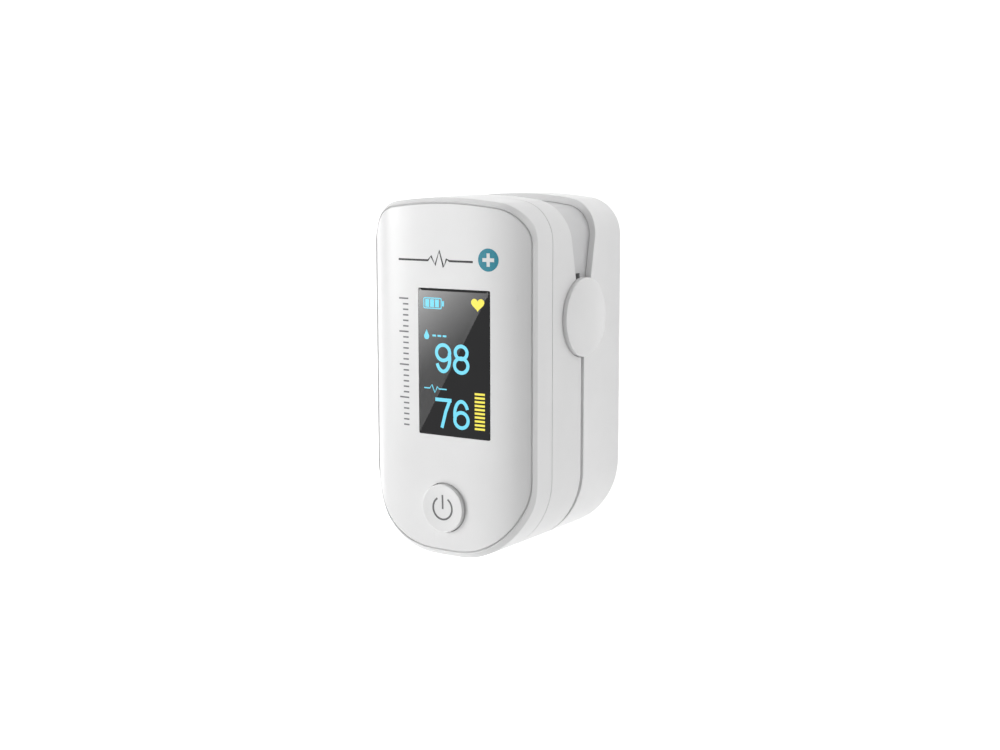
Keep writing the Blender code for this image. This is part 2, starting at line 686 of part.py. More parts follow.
def make_rear_deck():
    """Inner frame: battery bay roof, skirt that closes the wedge, and hinge lugs."""
    inset = WALL + GAP
    thickness = 0.8
    rings = [
        level(body_ring(7.4, inset), 7.4),
        level(body_ring(22, inset), 22),
        level(body_ring(22, inset + thickness), 22),
        level(body_ring(7.4, inset + thickness), 7.4),
    ]
    deck = add_object("rear_deck", loft(rings, closed=True), FRAME_GREY)
    skirt_y = 16.1
    low_rim = box("low_rim", (-HALF_SPAN, -BODY_END, 13.2), (HALF_SPAN, skirt_y, 30))
    rim = wedge_line(FRONT_WEDGE, FRONT_RIM_Z, 1, shift=1.2)
    skirt_edge = prism("skirt_edge", rim + [(BODY_END, 40), (FRONT_WEDGE[0], 40)], "X",
                       -HALF_SPAN, HALF_SPAN)
    roof = plate("bay_roof", body_ring(REAR_RIM_Z, inset + 0.3), 12.0, 12.6)
    half_x, half_y = BAY
    walls = [box(f"bay_wall_{number}", (1.6 - half_x, low, 2.4), (half_x - 1.6, low + 0.8, 12.3))
             for number, low in enumerate((-half_y - 0.9, half_y + 0.1))]
    bosses = [cylinder(f"rear_boss_{number}", 1.35, (x, y, FLOOR + GAP), 12.3, segments=16)
              for number, (x, y, _) in enumerate(rear_screw_places())]
    bores = [cylinder(f"rear_boss_bore_{number}", 0.8, (x, y, 0), 8.5, segments=16)
             for number, (x, y, _) in enumerate(rear_screw_places())]
    lugs = []
    for sign in (-1, 1):
        side = side_name(sign)
        lugs.append(cylinder(f"rear_lug_{side}", LUG_RADIUS + 0.2,
                             (sign * 13.35, HINGE_Y, HINGE_Z), sign * 14.3, "X"))
        bores.append(cylinder(f"rear_lug_bore_{side}", PIN_RADIUS + GAP,
                              (sign * 12.5, HINGE_Y, HINGE_Z), sign * 15, "X"))
        bores.append(box(f"hinge_pocket_{side}", (sign * 11.45 - 1.85, HINGE_Y - 3, 10),
                         (sign * 11.45 + 1.8, HINGE_Y + 3, 13.3)))
    notch = box("deck_mouth", (-PAD_HALF_WIDTH - 0.2, -31, 12.65),
                (PAD_HALF_WIDTH + 0.2, -20, 20))
    window = box("sensor_window", (-1.9, SENSOR_Y - 1.9, 10), (1.9, SENSOR_Y + 1.9, 14))
    boolean(deck, [low_rim, skirt_edge])
    boolean(deck, [roof] + walls + bosses + lugs, "UNION")
    boolean(deck, bores + [notch, window])
    return deck


def make_rear_finger_pad():
    """Soft bed under the finger, slightly hollow, with a window for the sensor."""
    floor_z = 12.7
    bed = [(x, 13.35 + 0.55 * (x / CHANNEL_HALF_WIDTH) ** 2)
           for x in steps(-CHANNEL_HALF_WIDTH, CHANNEL_HALF_WIDTH, 12)]
    half = PAD_HALF_WIDTH
    pad = prism("rear_finger_pad", [(-half, floor_z), (-half, 13.9)] + bed
                + [(half, 13.9), (half, floor_z)], "Y", *PAD_Y, SILICONE)
    window = box("rear_pad_window", (-1.8, SENSOR_Y - 1.8, 10), (1.8, SENSOR_Y + 1.8, 15))
    boolean(pad, [window, mouth_trim("rear_pad_trim")])
    return pad


def make_sensor():
    board = box("sensor_board", (-1.75, SENSOR_Y - 4.5, 11.3), (1.75, SENSOR_Y + 4.5, 11.75),
                BOARD_GREEN)
    diode = box("photodiode", (-1.5, SENSOR_Y - 1.5, 11.85), (1.5, SENSOR_Y + 1.5, 13.2),
                CHIP_BLACK, bevel=0.12)
    return [board, diode]


def make_battery(side, sign):
    """AAA cell; the left one has its positive nub towards the squeeze end."""
    half = CELL_LENGTH / 2
    profile = [(0, half + NUB_LENGTH), (NUB_RADIUS - 0.2, half + NUB_LENGTH),
               (NUB_RADIUS, half + NUB_LENGTH - 0.2), (NUB_RADIUS, half),
               (CELL_RADIUS - 0.5, half), (CELL_RADIUS, half - 0.5),
               (CELL_RADIUS, -half + 0.5), (CELL_RADIUS - 0.5, -half), (0, -half)]
    axis = "-Y" if sign > 0 else "Y"
    shift = -sign * (BAY[1] - 0.7 - half - NUB_LENGTH)
    return turned(f"battery_{side}", profile, CELL_WRAP, (sign * CELL_X, shift, CELL_Z), axis)


def make_battery_contacts():
    """Link plate at the squeeze end, two terminals at the other, and a coil for each minus."""
    far = BAY[1]
    made = [
        box("contact_link", (-9.2, far - 0.6, 2.6), (9.2, far - 0.2, 10.4), NICKEL),
        box("terminal_minus", (-9.2, 0.2 - far, 2.6), (-1.6, 0.6 - far, 10.4), NICKEL),
        box("terminal_plus", (1.6, 0.2 - far, 2.6), (9.2, 0.6 - far, 10.4), NICKEL),
    ]
    cell_end = CELL_LENGTH - (far - 0.7 - NUB_LENGTH)
    turns = 3
    for name, sign in (("battery_spring_1", 1), ("battery_spring_2", -1)):
        points = []
        for share in steps(0, 1, turns * SMALL_STEPS):
            angle = 2 * math.pi * turns * share
            radius = 3.4 - 1.7 * share
            travel = far - 0.9 - share * (far - 1.15 - cell_end)
            points.append((sign * CELL_X + radius * math.cos(angle), sign * travel,
                           CELL_Z + radius * math.sin(angle)))
        made.append(wire(name, points, 0.22, NICKEL))
    return made


def make_battery_door():
    """Sliding door with tongues along both sides and thumb grooves near its end."""
    door = add_object("battery_door", loft(rear_outer_rings(0.02)), WHITE)
    edge = DOOR_HALF_WIDTH - 0.15
    tongue = TONGUE_HALF_WIDTH - 0.15
    keep = box("door_section", (-tongue, DOOR_END_Y + 0.15, -1), (tongue, BODY_END, 1.13))
    boolean(door, [keep], "INTERSECT")
    steps_down = [box(f"tongue_step_{side_name(sign)}",
                      (sign * (edge + 1.5) - 1.5, -BODY_END, -2),
                      (sign * (edge + 1.5) + 1.5, BODY_END, 0.72)) for sign in (-1, 1)]
    boolean(door, steps_down)
    grooves = [box(f"thumb_groove_{number}", (-5.5, 14.0 + 1.6 * number, -1),
                   (5.5, 14.7 + 1.6 * number, 0.35)) for number in range(5)]
    boolean(door, grooves)
    return door


# Hinge --------------------------------------------------------------------------------------


def make_hinge_cap(sign):
    """Round domed cap over the hinge pin."""
    seat = 15.35
    profile = [(0, 16.8), (2.2, 16.74), (4.0, 16.6), (5.4, 16.44), (CAP_RADIUS - 0.15, 16.3),
               (CAP_RADIUS, 16.12), (CAP_RADIUS, seat), (CAP_BOSS, seat), (CAP_BOSS, 14.45),
               (PIN_RADIUS + GAP, 14.45), (PIN_RADIUS + GAP, 15.1), (0, 15.1)]
    axis = "X" if sign > 0 else "-X"
    return turned(f"hinge_cap_{side_name(sign)}", profile, WHITE, (0, HINGE_Y, HINGE_Z), axis,
                  segments=DISC_STEPS)


def make_hinge_pin(sign):
    profile = [(0, 15.0), (PIN_RADIUS - 0.2, 15.0), (PIN_RADIUS, 14.8), (PIN_RADIUS, 9.7),
               (PIN_RADIUS - 0.2, 9.5), (0, 9.5)]
    axis = "X" if sign > 0 else "-X"
    return turned(f"hinge_pin_{side_name(sign)}", profile, STEEL, (0, HINGE_Y, HINGE_Z), axis,
                  segments=16)


def make_hinge_spring(sign):
    """Torsion spring round the pin; its legs push the squeeze ends apart."""
    start = math.radians(40)
    count = int(SPRING_TURNS * SMALL_STEPS)
    points = [(sign * 9.9, 15.6, 18.9)]
    for share in steps(0, 1, count):
        angle = start + math.pi / 2 + 2 * math.pi * SPRING_TURNS * share
        points.append((sign * (9.9 + 1.8 * share), HINGE_Y + SPRING_RADIUS * math.cos(angle),
                       HINGE_Z + SPRING_RADIUS * math.sin(angle)))
    points.append((sign * 11.7, 12.4, 13.2))
    points.append((sign * 11.7, 17.2, 13.1))
    return wire(f"hinge_spring_{side_name(sign)}", points, SPRING_WIRE / 2, STEEL)


def make_hinge_flex():
    """Thin flexible circuit that loops from the rear deck to the front deck behind the stop."""
    return folded_film("hinge_flex", 3.0, (16.0, 17.6), 4.7, 1, (11.0, 7.0))


def pivot(name, location, parent=None):
    """An empty on a joint's axis."""
    empty = bpy.data.objects.new(name, None)
    empty.empty_display_size = 5 * MM
    PARTS.objects.link(empty)
    hold(empty, location, parent)
    return empty


def hold(empty, location, parent):
    empty.matrix_world = Matrix.Translation(Vector(location) * MM)
    if parent is not None:
        empty.parent = parent
        empty.matrix_parent_inverse = parent.matrix_world.inverted()


def attach(things, parent):
    """Parents things to an empty and leaves them where they are."""
    for thing in things:
        thing.parent = parent
        thing.matrix_parent_inverse = parent.matrix_world.inverted()


def smooth_round_parts():
    for thing in PARTS.objects:
        if thing.type == "MESH":
            thing.data.shade_smooth()
            thing.data.set_sharp_from_angle(angle=math.radians(35))


def build():
    front = [make_face_cover(), make_display_window(), make_front_housing(), make_mid_housing(),
             make_front_deck(), make_main_board(), make_power_switch(), make_front_finger_pad()]
    front += make_display_module() + make_board_parts() + make_emitter() + make_deck_screws()
    front_pivot = pivot("front_half_pivot", (0, HINGE_Y, HINGE_Z))
    attach(front, front_pivot)
    button_axis = pivot("button_axis", (0, BUTTON_Y, DEPTH), front_pivot)
    attach([make_power_button()], button_axis)
    make_rear_housing()
    make_rear_deck()
    make_rear_finger_pad()
    make_sensor()
    make_rear_screws()
    make_battery_contacts()
    make_hinge_flex()
    for sign in (-1, 1):
        make_battery(side_name(sign), sign)
        make_hinge_cap(sign)
        make_hinge_pin(sign)
        make_hinge_spring(sign)
    attach([make_battery_door()], pivot("door_slide", (0, 0, 0)))
    smooth_round_parts()


clear_scene()
PARTS = make_collection("pulse_oximeter")
CUTTERS = make_collection("cutters")
build()
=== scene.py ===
"""Looks of the fingertip pulse oximeter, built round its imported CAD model.

The object lies on its battery door: +X is to the right of the display, +Y runs from the
finger mouth to the squeeze end and +Z points out of the display. Lengths are in metres,
except where a docstring says millimetres.
"""

import json
from math import atan2, ceil, cos, hypot, pi, radians, sin, sqrt

import bmesh
import bpy
from mathutils import Matrix, Vector


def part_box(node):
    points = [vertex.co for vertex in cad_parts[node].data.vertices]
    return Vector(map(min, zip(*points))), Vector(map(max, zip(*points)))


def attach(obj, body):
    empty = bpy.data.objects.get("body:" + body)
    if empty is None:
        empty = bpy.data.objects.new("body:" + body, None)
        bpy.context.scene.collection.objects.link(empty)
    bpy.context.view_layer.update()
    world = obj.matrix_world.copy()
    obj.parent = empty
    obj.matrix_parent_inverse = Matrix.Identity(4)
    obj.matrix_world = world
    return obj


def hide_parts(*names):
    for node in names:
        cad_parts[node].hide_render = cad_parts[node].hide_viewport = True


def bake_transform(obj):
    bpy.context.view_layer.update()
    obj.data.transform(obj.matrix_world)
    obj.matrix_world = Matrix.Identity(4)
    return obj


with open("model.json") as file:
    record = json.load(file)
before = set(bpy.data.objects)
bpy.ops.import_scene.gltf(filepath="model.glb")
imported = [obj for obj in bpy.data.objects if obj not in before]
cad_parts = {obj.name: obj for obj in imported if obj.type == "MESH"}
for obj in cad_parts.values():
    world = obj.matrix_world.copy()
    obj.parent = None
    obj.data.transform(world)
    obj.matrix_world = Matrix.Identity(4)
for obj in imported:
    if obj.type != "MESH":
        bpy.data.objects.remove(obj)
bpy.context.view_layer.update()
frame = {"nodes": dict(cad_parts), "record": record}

MM = 0.001

# Places and sizes taken from the frame.
COVER_LOW, COVER_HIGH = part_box("face_cover")
WINDOW_LOW, WINDOW_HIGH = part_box("display_window")
BUTTON_LOW, BUTTON_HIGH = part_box("power_button")
BODY_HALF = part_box("front_housing")[1].x
RING_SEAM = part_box("mid_housing")[1].z
REAR_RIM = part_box("rear_housing")[1].z
HINGE = Vector(frame["record"]["behaviour"]["joints"][0]["pos_m"])
FACE_HALF = COVER_HIGH.x
DEPTH = COVER_HIGH.z
BEZEL = BODY_HALF - FACE_HALF
BUTTON = (BUTTON_LOW + BUTTON_HIGH) / 2
WINDOW = (WINDOW_LOW + WINDOW_HIGH) / 2

# Shape of the face's outline and of the body wall.
TOP_CORNER = 5.85 * MM
TOP_CROWN = 1.65 * MM
MOUTH_CORNER = 12.55 * MM
MOUTH_CROWN = 1.0 * MM
FACE_ROLL = 2.45 * MM
FACE_ROLL_POWER = 5.25
TOP_STEP = 0.25 * MM
TOP_STRETCH = 0.3 * MM
MOUTH_STEP = 0.55 * MM
MOUTH_STRETCH = 0.15 * MM
WALL = 1.06 * MM
GAP = 0.1 * MM
COVER_THICKNESS = 1.4 * MM
FRONT_RIM = 14.3 * MM
FRONT_WEDGE = (7.1 * MM, 0.22)
REAR_WEDGE = (4.7 * MM, 0.20)
FAR = 40 * MM  # outside the body on every side
AXIS = 0.02 * MM  # radius at which a turned profile closes

# Hinge, finger channel and battery bay.
LUG_RADIUS = 2.6 * MM
PIN_RADIUS = 1.0 * MM
CAP_BOSS = 3.0 * MM
MOUTH_HALF = 8.2 * MM
MOUTH_TOP = 22.4 * MM
CHANNEL_HALF = 7.2 * MM
CHANNEL_TOP = 22.3 * MM
BAY = (10.9 * MM, 24.4 * MM)
FLOOR = 2.2 * MM
POSTS = [(side * x, y) for x, y in ((11.6 * MM, 13.2 * MM), (11.4 * MM, -12.6 * MM))
         for side in (-1, 1)]

# Fineness of the meshes.
CROWN_STEPS = 10
CORNER_STEPS = 18
SIDE_STEPS = 34
CIRCLE_STEPS = 96
FILLET_STEPS = 4


# Mesh helpers --------------------


def steps(start, end, count):
    """count + 1 evenly spaced values from start to end."""
    return [start + (end - start) * i / count for i in range(count + 1)]


def mm(*values):
    """Millimetres as metres."""
    return tuple(value * MM for value in values)


def quarter(size, count=FILLET_STEPS):
    """Distances (across, along) from the corner that a rounded edge replaces."""
    return [(size * (1 - cos(a)), size * (1 - sin(a))) for a in steps(0, pi / 2, count)]


def middle_of(node):
    low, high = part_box(node)
    return (low + high) / 2


def loft(rings, closed=False):
    """Skins rings that have the same number of points; open ends are capped."""
    shape = bmesh.new()
    loops = [[shape.verts.new(point) for point in ring] for ring in rings]
    pairs = list(zip(loops, loops[1:]))
    if closed:
        pairs.append((loops[-1], loops[0]))
    else:
        shape.faces.new(loops[0])
        shape.faces.new(loops[-1])
    for lower, upper in pairs:
        for i, point in enumerate(lower):
            j = (i + 1) % len(lower)
            shape.faces.new((point, lower[j], upper[j], upper[i]))
    bmesh.ops.recalc_face_normals(shape, faces=shape.faces)
    return shape


def circle(radius, count=CIRCLE_STEPS):
    return [(radius * cos(a), radius * sin(a))
            for a in steps(0, 2 * pi, count)[:-1]]


def place(u, v, along, axis):
    """A point from two coordinates across an axis and one along it."""
    if axis == "X":
        return Vector((along, u, v))
    if axis == "Y":
        return Vector((u, along, v))
    return Vector((u, v, along))


def turned(profile, centre, axis="Z", count=CIRCLE_STEPS):
    """Spins (radius, distance along the axis) points about an axis through centre."""
    rings = [[place(u, v, along, axis) + Vector(centre) for u, v in circle(radius, count)]
             for radius, along in profile]
    return loft(rings)


def rod(radius, centre, start, end, axis="Z", count=48):
    """A plain round cutter or boss from start to end along an axis through centre."""
    return turned([(radius, start), (radius, end)], centre, axis, count)


def hinge_rod(radius, start, end, count=48):
    """A rod on the hinge's line, between two places along X."""
    return rod(radius, (0, HINGE.y, HINGE.z), start, end, "X", count)


def block(low, high):
    """A plain rectangular cutter or rib."""
    corners = [(low[0], low[1]), (high[0], low[1]), (high[0], high[1]), (low[0], high[1])]
    return prism(corners, "Z", low[2], high[2])


def prism(points, axis, low, high):
    """An outline across an axis, swept from low to high."""
    return loft([[place(u, v, low, axis) for u, v in points],
                 [place(u, v, high, axis) for u, v in points]])


def linked(name, data):
    """A new object in the scene."""
    thing = bpy.data.objects.new(name, data)
    bpy.context.scene.collection.objects.link(thing)
    return thing


def to_object(name, shape):
    mesh = bpy.data.meshes.new(name)
    shape.to_mesh(mesh)
    shape.free()
    return linked(name, mesh)


def combine(thing, shapes, operation="DIFFERENCE"):
    """Cuts shapes out of a mesh object, or joins them to it, and keeps the result."""
    cutters = [to_object("cutter", shape) for shape in shapes]
    for cutter in cutters:
        modifier = thing.modifiers.new("cut", "BOOLEAN")
        modifier.operation = operation
        modifier.object = cutter
        modifier.solver = "EXACT"
    graph = bpy.context.evaluated_depsgraph_get()
    result = bpy.data.meshes.new_from_object(thing.evaluated_get(graph))
    thing.modifiers.clear()
    thing.data = result
    for cutter in cutters:
        bpy.data.objects.remove(cutter, do_unlink=True)
    return thing


def soften(thing, width, chosen, segments=3):
    """Rounds the sharp edges whose middle point is chosen."""
    shape = bmesh.new()
    shape.from_mesh(thing.data)
    bmesh.ops.remove_doubles(shape, verts=shape.verts, dist=0.002 * MM)
    edges = [edge for edge in shape.edges
             if edge.is_manifold and edge.calc_face_angle() > radians(40)
             and chosen((edge.verts[0].co + edge.verts[1].co) / 2)]
    bmesh.ops.bevel(shape, geom=edges, offset=width, segments=segments, profile=0.5,
                    affect="EDGES", clamp_overlap=True)
    shape.to_mesh(thing.data)
    shape.free()


def curve_mesh(curve):
    """A welded bmesh of a curve data block."""
    thing = linked("curve", curve)
    graph = bpy.context.evaluated_depsgraph_get()
    mesh = bpy.data.meshes.new_from_object(thing.evaluated_get(graph))
    bpy.data.objects.remove(thing, do_unlink=True)
    shape = bmesh.new()
    shape.from_mesh(mesh)
    return shape


def flat_shape(loops, thickness):
    """A bmesh of filled outlines in XY on both sides of Z = 0; inner outlines are holes."""
    curve = bpy.data.curves.new("outline", "CURVE")
    curve.dimensions = "2D"
    curve.fill_mode = "BOTH"
    curve.extrude = thickness / 2 / MM
    for loop in loops:
        spline = curve.splines.new("POLY")
        spline.points.add(len(loop) - 1)
        for point, (x, y) in zip(spline.points, loop):
            point.co = (x / MM, y / MM, 0, 1)
        spline.use_cyclic_u = True
    shape = curve_mesh(curve)
    bmesh.ops.remove_doubles(shape, verts=shape.verts, dist=0.0005)
    bmesh.ops.scale(shape, vec=(MM, MM, MM), verts=shape.verts)
    bmesh.ops.recalc_face_normals(shape, faces=shape.faces)
    return shape


def merged(shapes):
    """One bmesh of several separate shapes."""
    whole = bmesh.new()
    for shape in shapes:
        mesh = bpy.data.meshes.new("part")
        shape.to_mesh(mesh)
        shape.free()
        whole.from_mesh(mesh)
        bpy.data.meshes.remove(mesh)
    return whole


def taken(thing):
    """The mesh of a helper object as a bmesh; the object is removed."""
    shape = bmesh.new()
    shape.from_mesh(thing.data)
    bpy.data.objects.remove(thing, do_unlink=True)
    return shape


def joined(shapes):
    """The union of overlapping shapes, as one bmesh."""
    return taken(combine(to_object("joined", shapes[0]), shapes[1:], "UNION"))


def slice_across(shape, places):
    """Cuts a mesh along planes across X, so that it can follow a curved surface."""
    for x in places:
        parts = shape.verts[:] + shape.edges[:] + shape.faces[:]
        bmesh.ops.bisect_plane(shape, geom=parts, plane_co=(x, 0, 0), plane_no=(1, 0, 0),
                               dist=1e-7)


def drape(shape, surface, spacing=0.0):
    """Lifts a flat shape onto a surface that is given as a height over x and y."""
    if spacing:
        most = max(vert.co.x for vert in shape.verts)
        least = min(vert.co.x for vert in shape.verts)
        slice_across(shape, steps(least, most, ceil((most - least) / spacing))[1:-1])
    for vert in shape.verts:
        vert.co.z += surface(vert.co.x, vert.co.y)
    return shape


def piece(thing, body, slot, node=None, material=None, sharp=35):
    """Gives a finished mesh its looks and its place in the frame."""
    thing.data.materials.clear()
    thing.data.materials.append(material or FINISH[slot])
    for face in thing.data.polygons:
        face.material_index = 0
    thing.data.shade_smooth()
    thing.data.set_sharp_from_angle(angle=radians(sharp))
    normals = thing.modifiers.new("normals", "WEIGHTED_NORMAL")
    normals.keep_sharp = True
    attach(thing, body)
    if node:
        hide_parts(node)
    return thing


# Body outline --------------------


def end_curve(half_width, corner, crown):
    """Points from the middle of a crowned end, at height 0, round its corner to the side."""
    crown_radius = (half_width ** 2 + crown ** 2) / (2 * crown)
    centre_x = half_width - corner
    centre_y = sqrt((crown_radius - corner) ** 2 - centre_x ** 2) - crown_radius
    turn = atan2(centre_x, centre_y + crown_radius)
    points = [(crown_radius * sin(a), crown_radius * (cos(a) - 1))
              for a in steps(0, turn, CROWN_STEPS)]
    points += [(centre_x + corner * sin(a), centre_y + corner * cos(a))
               for a in steps(turn, pi / 2, CORNER_STEPS)[1:]]
    return points


def outline(grow=0.0, top=0.0, mouth=0.0):
    """The face's outline grown evenly by grow, and by top and mouth more at its two ends."""
    half_width = FACE_HALF + grow
    top_y = COVER_HIGH.y + grow + top
    mouth_y = COVER_LOW.y - grow - mouth
    upper = [(x, top_y + y) for x, y in end_curve(half_width, TOP_CORNER + grow, TOP_CROWN)]
    lower = [(x, mouth_y - y)
             for x, y in end_curve(half_width, MOUTH_CORNER + grow, MOUTH_CROWN)]
    side = [(half_width, y) for y in steps(upper[-1][1], lower[-1][1], SIDE_STEPS)[1:-1]]
    right = upper + side + lower[::-1]
    left = [(-x, y) for x, y in right[-2:0:-1]]
    return right + left


def face_height(x):
    """Height of the face, which rolls back towards its long edges."""
    return DEPTH - FACE_ROLL * min(1.0, abs(x) / FACE_HALF) ** FACE_ROLL_POWER


def front_rim(y):
    """Lower edge of the front half, which rises towards the squeeze end."""
    return FRONT_RIM + FRONT_WEDGE[1] * max(0.0, y - FRONT_WEDGE[0])


def rear_rim(y):
    """Upper edge of the rear half, which falls towards the squeeze end."""
    return REAR_RIM - REAR_WEDGE[1] * max(0.0, y - REAR_WEDGE[0])


def at(z):
    """A height that is the same everywhere."""
    return lambda y: z


def wall_ring(inset, height):
    """A loop of the body wall, which lengthens towards the parting line."""
    loop = []
    for x, y in outline(BEZEL - inset, TOP_STEP, MOUTH_STEP):
        far_y = y
        for _ in range(3):
            z = height(far_y)
            share = min(1.0, (DEPTH - z) / (DEPTH - FRONT_RIM))
            far_y = y + share * (TOP_STRETCH if y > 0 else -MOUTH_STRETCH)
        loop.append((x, far_y, z))
    return loop


def rounded_rim(height, side, fillet, inset=0.0):
    """Loops from the wall over a rounded edge onto a rim; side is 1 for a wall above it."""
    return [wall_ring(inset + across, lambda y, rise=side * along: height(y) + rise)
            for across, along in quarter(fillet)]


def face_ring(grow, drop, share=0.0):
    """A loop some depth below the rolled face, with a share of the wall's extra length."""
    loop = outline(grow, TOP_STEP * share, MOUTH_STEP * share)
    return [(x, y, face_height(x) - drop) for x, y in loop]


def arch(half_width, top_z, floor_z, count=32):
    """An arch (x, z) with an elliptical roof, open at floor_z."""
    spring_z = top_z - 0.72 * half_width
    roof = [(half_width * cos(a), spring_z + (top_z - spring_z) * sin(a))
            for a in steps(0, pi, count)]
    return [(half_width, floor_z)] + roof + [(-half_width, floor_z)]


def rounded_rectangle(half_x, half_y, corner, count=8):
    points = []
    for turn, (side_x, side_y) in enumerate(((1, 1), (-1, 1), (-1, -1), (1, -1))):
        start = turn * pi / 2
        points += [(side_x * (half_x - corner) + corner * cos(a),
                    side_y * (half_y - corner) + corner * sin(a))
                   for a in steps(start, start + pi / 2, count)]
    return points


# Materials --------------------


class Surface:
    """A node material under construction, with object coordinates at hand."""

    def __init__(self, name, **sockets):
        self.material = bpy.data.materials.new(name)
        self.material.use_nodes = True
        self.nodes = self.material.node_tree.nodes
        self.links = self.material.node_tree.links
        self.shader = self.nodes["Principled BSDF"]
        self.place = self.nodes.new("ShaderNodeTexCoord").outputs["Object"]
        self.fill(self.shader, sockets)

    def fill(self, node, sockets):
        for socket, value in sockets.items():
            node.inputs[socket.replace("_", " ")].default_value = value

    def feed(self, source, socket):
        self.links.new(source, self.shader.inputs[socket])

    def add(self, kind, output, source=None, into="Vector", **sockets):
        """Adds a node with its sockets filled in and fed by source, and returns its output."""
        node = self.nodes.new("ShaderNode" + kind)
        self.fill(node, sockets)
        self.links.new(source or self.place, node.inputs[into])
        return node.outputs[output]

    def noise(self, size, detail=2.0, place=None):
        """Noise whose features are about size millimetres across."""
        return self.add("TexNoise", "Fac", place, Scale=1 / (size * MM), Detail=detail)

    def spread(self, source, low, high, start=0.3, end=0.7):
        """Maps source from start..end to low..high."""
        return self.add("MapRange", "Result", source, "Value", From_Min=start, From_Max=end,
                        To_Min=low, To_Max=high)

    def colours(self, source, stops, steady=False):
        """A colour ramp; stops are (position, colour) pairs."""
        colour = self.add("ValToRGB", "Color", source, "Fac")
        if steady:
            colour.node.color_ramp.interpolation = "CONSTANT"
        fill_ramp(colour.node.color_ramp, stops)
        return colour

    def finished(self, colour, roughness, height, depth):
        """The material with its colour, its roughness and a relief depth millimetres deep."""
        relief = self.add("Bump", "Normal", height, "Height", Distance=depth * MM)
        for source, socket in ((colour, "Base Color"), (roughness, "Roughness"),
                               (relief, "Normal")):
            self.feed(source, socket)
        return self.material


def fill_ramp(ramp, stops):
    while len(ramp.elements) < len(stops):
        ramp.elements.new(0.5)
    for element, (position, colour) in zip(ramp.elements, stops):
        element.position = position
        element.color = (*colour, 1.0)


def shade(colour, factor):
    return tuple(channel * factor for channel in colour)


def uneven(name, colours, tone, gloss, grain, **sockets):
    """Material whose colour, roughness and relief vary, each with its own noise.

    tone is the size and detail of the noise between the two colours. gloss is the same
    for the roughness, with its range, and grain the same for the relief, with its depth.
    Sizes and depth are in millimetres.
    """
    surface = Surface(name, **sockets)
    return surface.finished(
        surface.colours(surface.noise(*tone), list(zip((0.3, 0.7), colours))),
        surface.spread(surface.noise(*gloss[:2]), *gloss[2:]),
        surface.noise(*grain[:2]), grain[2])


def moulded(name, colour, roughness, grain, depth, variation=0.015, **sockets):
    """Injection moulded plastic: eroded grain, faint flow mottling and uneven gloss."""
    colours = [shade(colour, 1 - variation), shade(colour, 1 + variation)]
    return uneven(name, colours, (9, 3.0), (2.5, 2.0, roughness - 0.03, roughness + 0.03),
                  (grain, 2.0, depth), **sockets)


def metal(name, colour, roughness, brushed):
    """Bare or plated metal with fine scratches along one axis and slight staining."""
    surface = Surface(name, Metallic=1.0)
    scratches = surface.noise(0.12, 4.0, surface.add("Mapping", "Vector", Scale=brushed))
    stops = [(0.25, shade(colour, 0.86)), (0.75, colour)]
    return surface.finished(
        surface.colours(surface.noise(3, 3.0), stops),
        surface.spread(scratches, roughness - 0.06, roughness + 0.1), scratches, 0.004)


def solder_mask():
    """Green board with buried tracks."""
    surface = Surface("board_green", Coat_Weight=0.3)
    tracks = surface.add("TexVoronoi", "Distance", Scale=1 / (1.6 * MM))
    tracks.node.feature = "DISTANCE_TO_EDGE"
    stops = [(0.0, (0.05, 0.30, 0.13)), (0.09, (0.05, 0.30, 0.13)), (0.12, (0.02, 0.16, 0.07)),
             (1.0, (0.02, 0.17, 0.08))]
    return surface.finished(
        surface.colours(tracks, stops), surface.spread(surface.noise(0.8, 3.0), 0.3, 0.45),
        surface.spread(tracks, 1.0, 0.0, 0.05, 0.12), 0.02)


def polyimide():
    """Amber film with copper tracks along it."""
    surface = Surface("copper_film", Coat_Weight=0.4)
    tracks = surface.add("TexWave", "Fac", Scale=320)
    stops = [(0.45, (0.50, 0.20, 0.04)), (0.55, (0.72, 0.38, 0.14))]
    return surface.finished(
        surface.colours(tracks, stops), surface.spread(surface.noise(1.5, 3.0), 0.28, 0.42),
        tracks, 0.01)


def cell_sleeve(name, sign):
    """Shrink sleeve in two colours with bare steel at both ends; sign is the nub's direction."""
    surface = Surface(name, Coat_Weight=0.5)
    low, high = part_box("battery_left" if sign > 0 else "battery_right")
    start, end = (low.y, high.y) if sign > 0 else (high.y, low.y)
    share = surface.spread(surface.add("SeparateXYZ", "Y"), 0.0, 1.0, start, end)
    steel, navy, silver = (0.62, 0.62, 0.63), (0.03, 0.11, 0.26), (0.60, 0.61, 0.62)
    bands = [(0.0, steel), (0.018, navy), (0.70, silver), (0.715, navy), (0.73, silver),
             (0.955, steel)]
    shine = [(0.0, (1.0,) * 3), (0.018, (0.15,) * 3), (0.70, (0.7,) * 3), (0.955, (1.0,) * 3)]
    surface.feed(surface.colours(share, shine, steady=True), "Metallic")
    return surface.finished(
        surface.colours(share, bands, steady=True),
        surface.spread(surface.noise(2, 4.0), 0.24, 0.36), surface.noise(1.4, 3.0), 0.01)


def lit_pixels(name, colour):
    """Glowing display segment, very slightly uneven from pixel to pixel."""
    surface = Surface(name, Roughness=0.25, Emission_Strength=1.0)
    for socket, noise, stops in (
            ("Base Color", surface.noise(0.12), [(0.0, 0.05), (1.0, 0.08)]),
            ("Emission Color", surface.noise(0.15, 1.0), [(0.3, 0.94), (0.7, 1.0)])):
        tones = [(position, shade(colour, factor)) for position, factor in stops]
        surface.feed(surface.colours(noise, tones), socket)
    return surface.material


def ink(name, colour):
    """Pad printed ink, a little patchy."""
    return uneven(name, [shade(colour, 0.9), shade(colour, 1.1)], (0.4, 4.0),
                  (0.3, 3.0, 0.35, 0.5), (0.1, 2.0, 0.003))


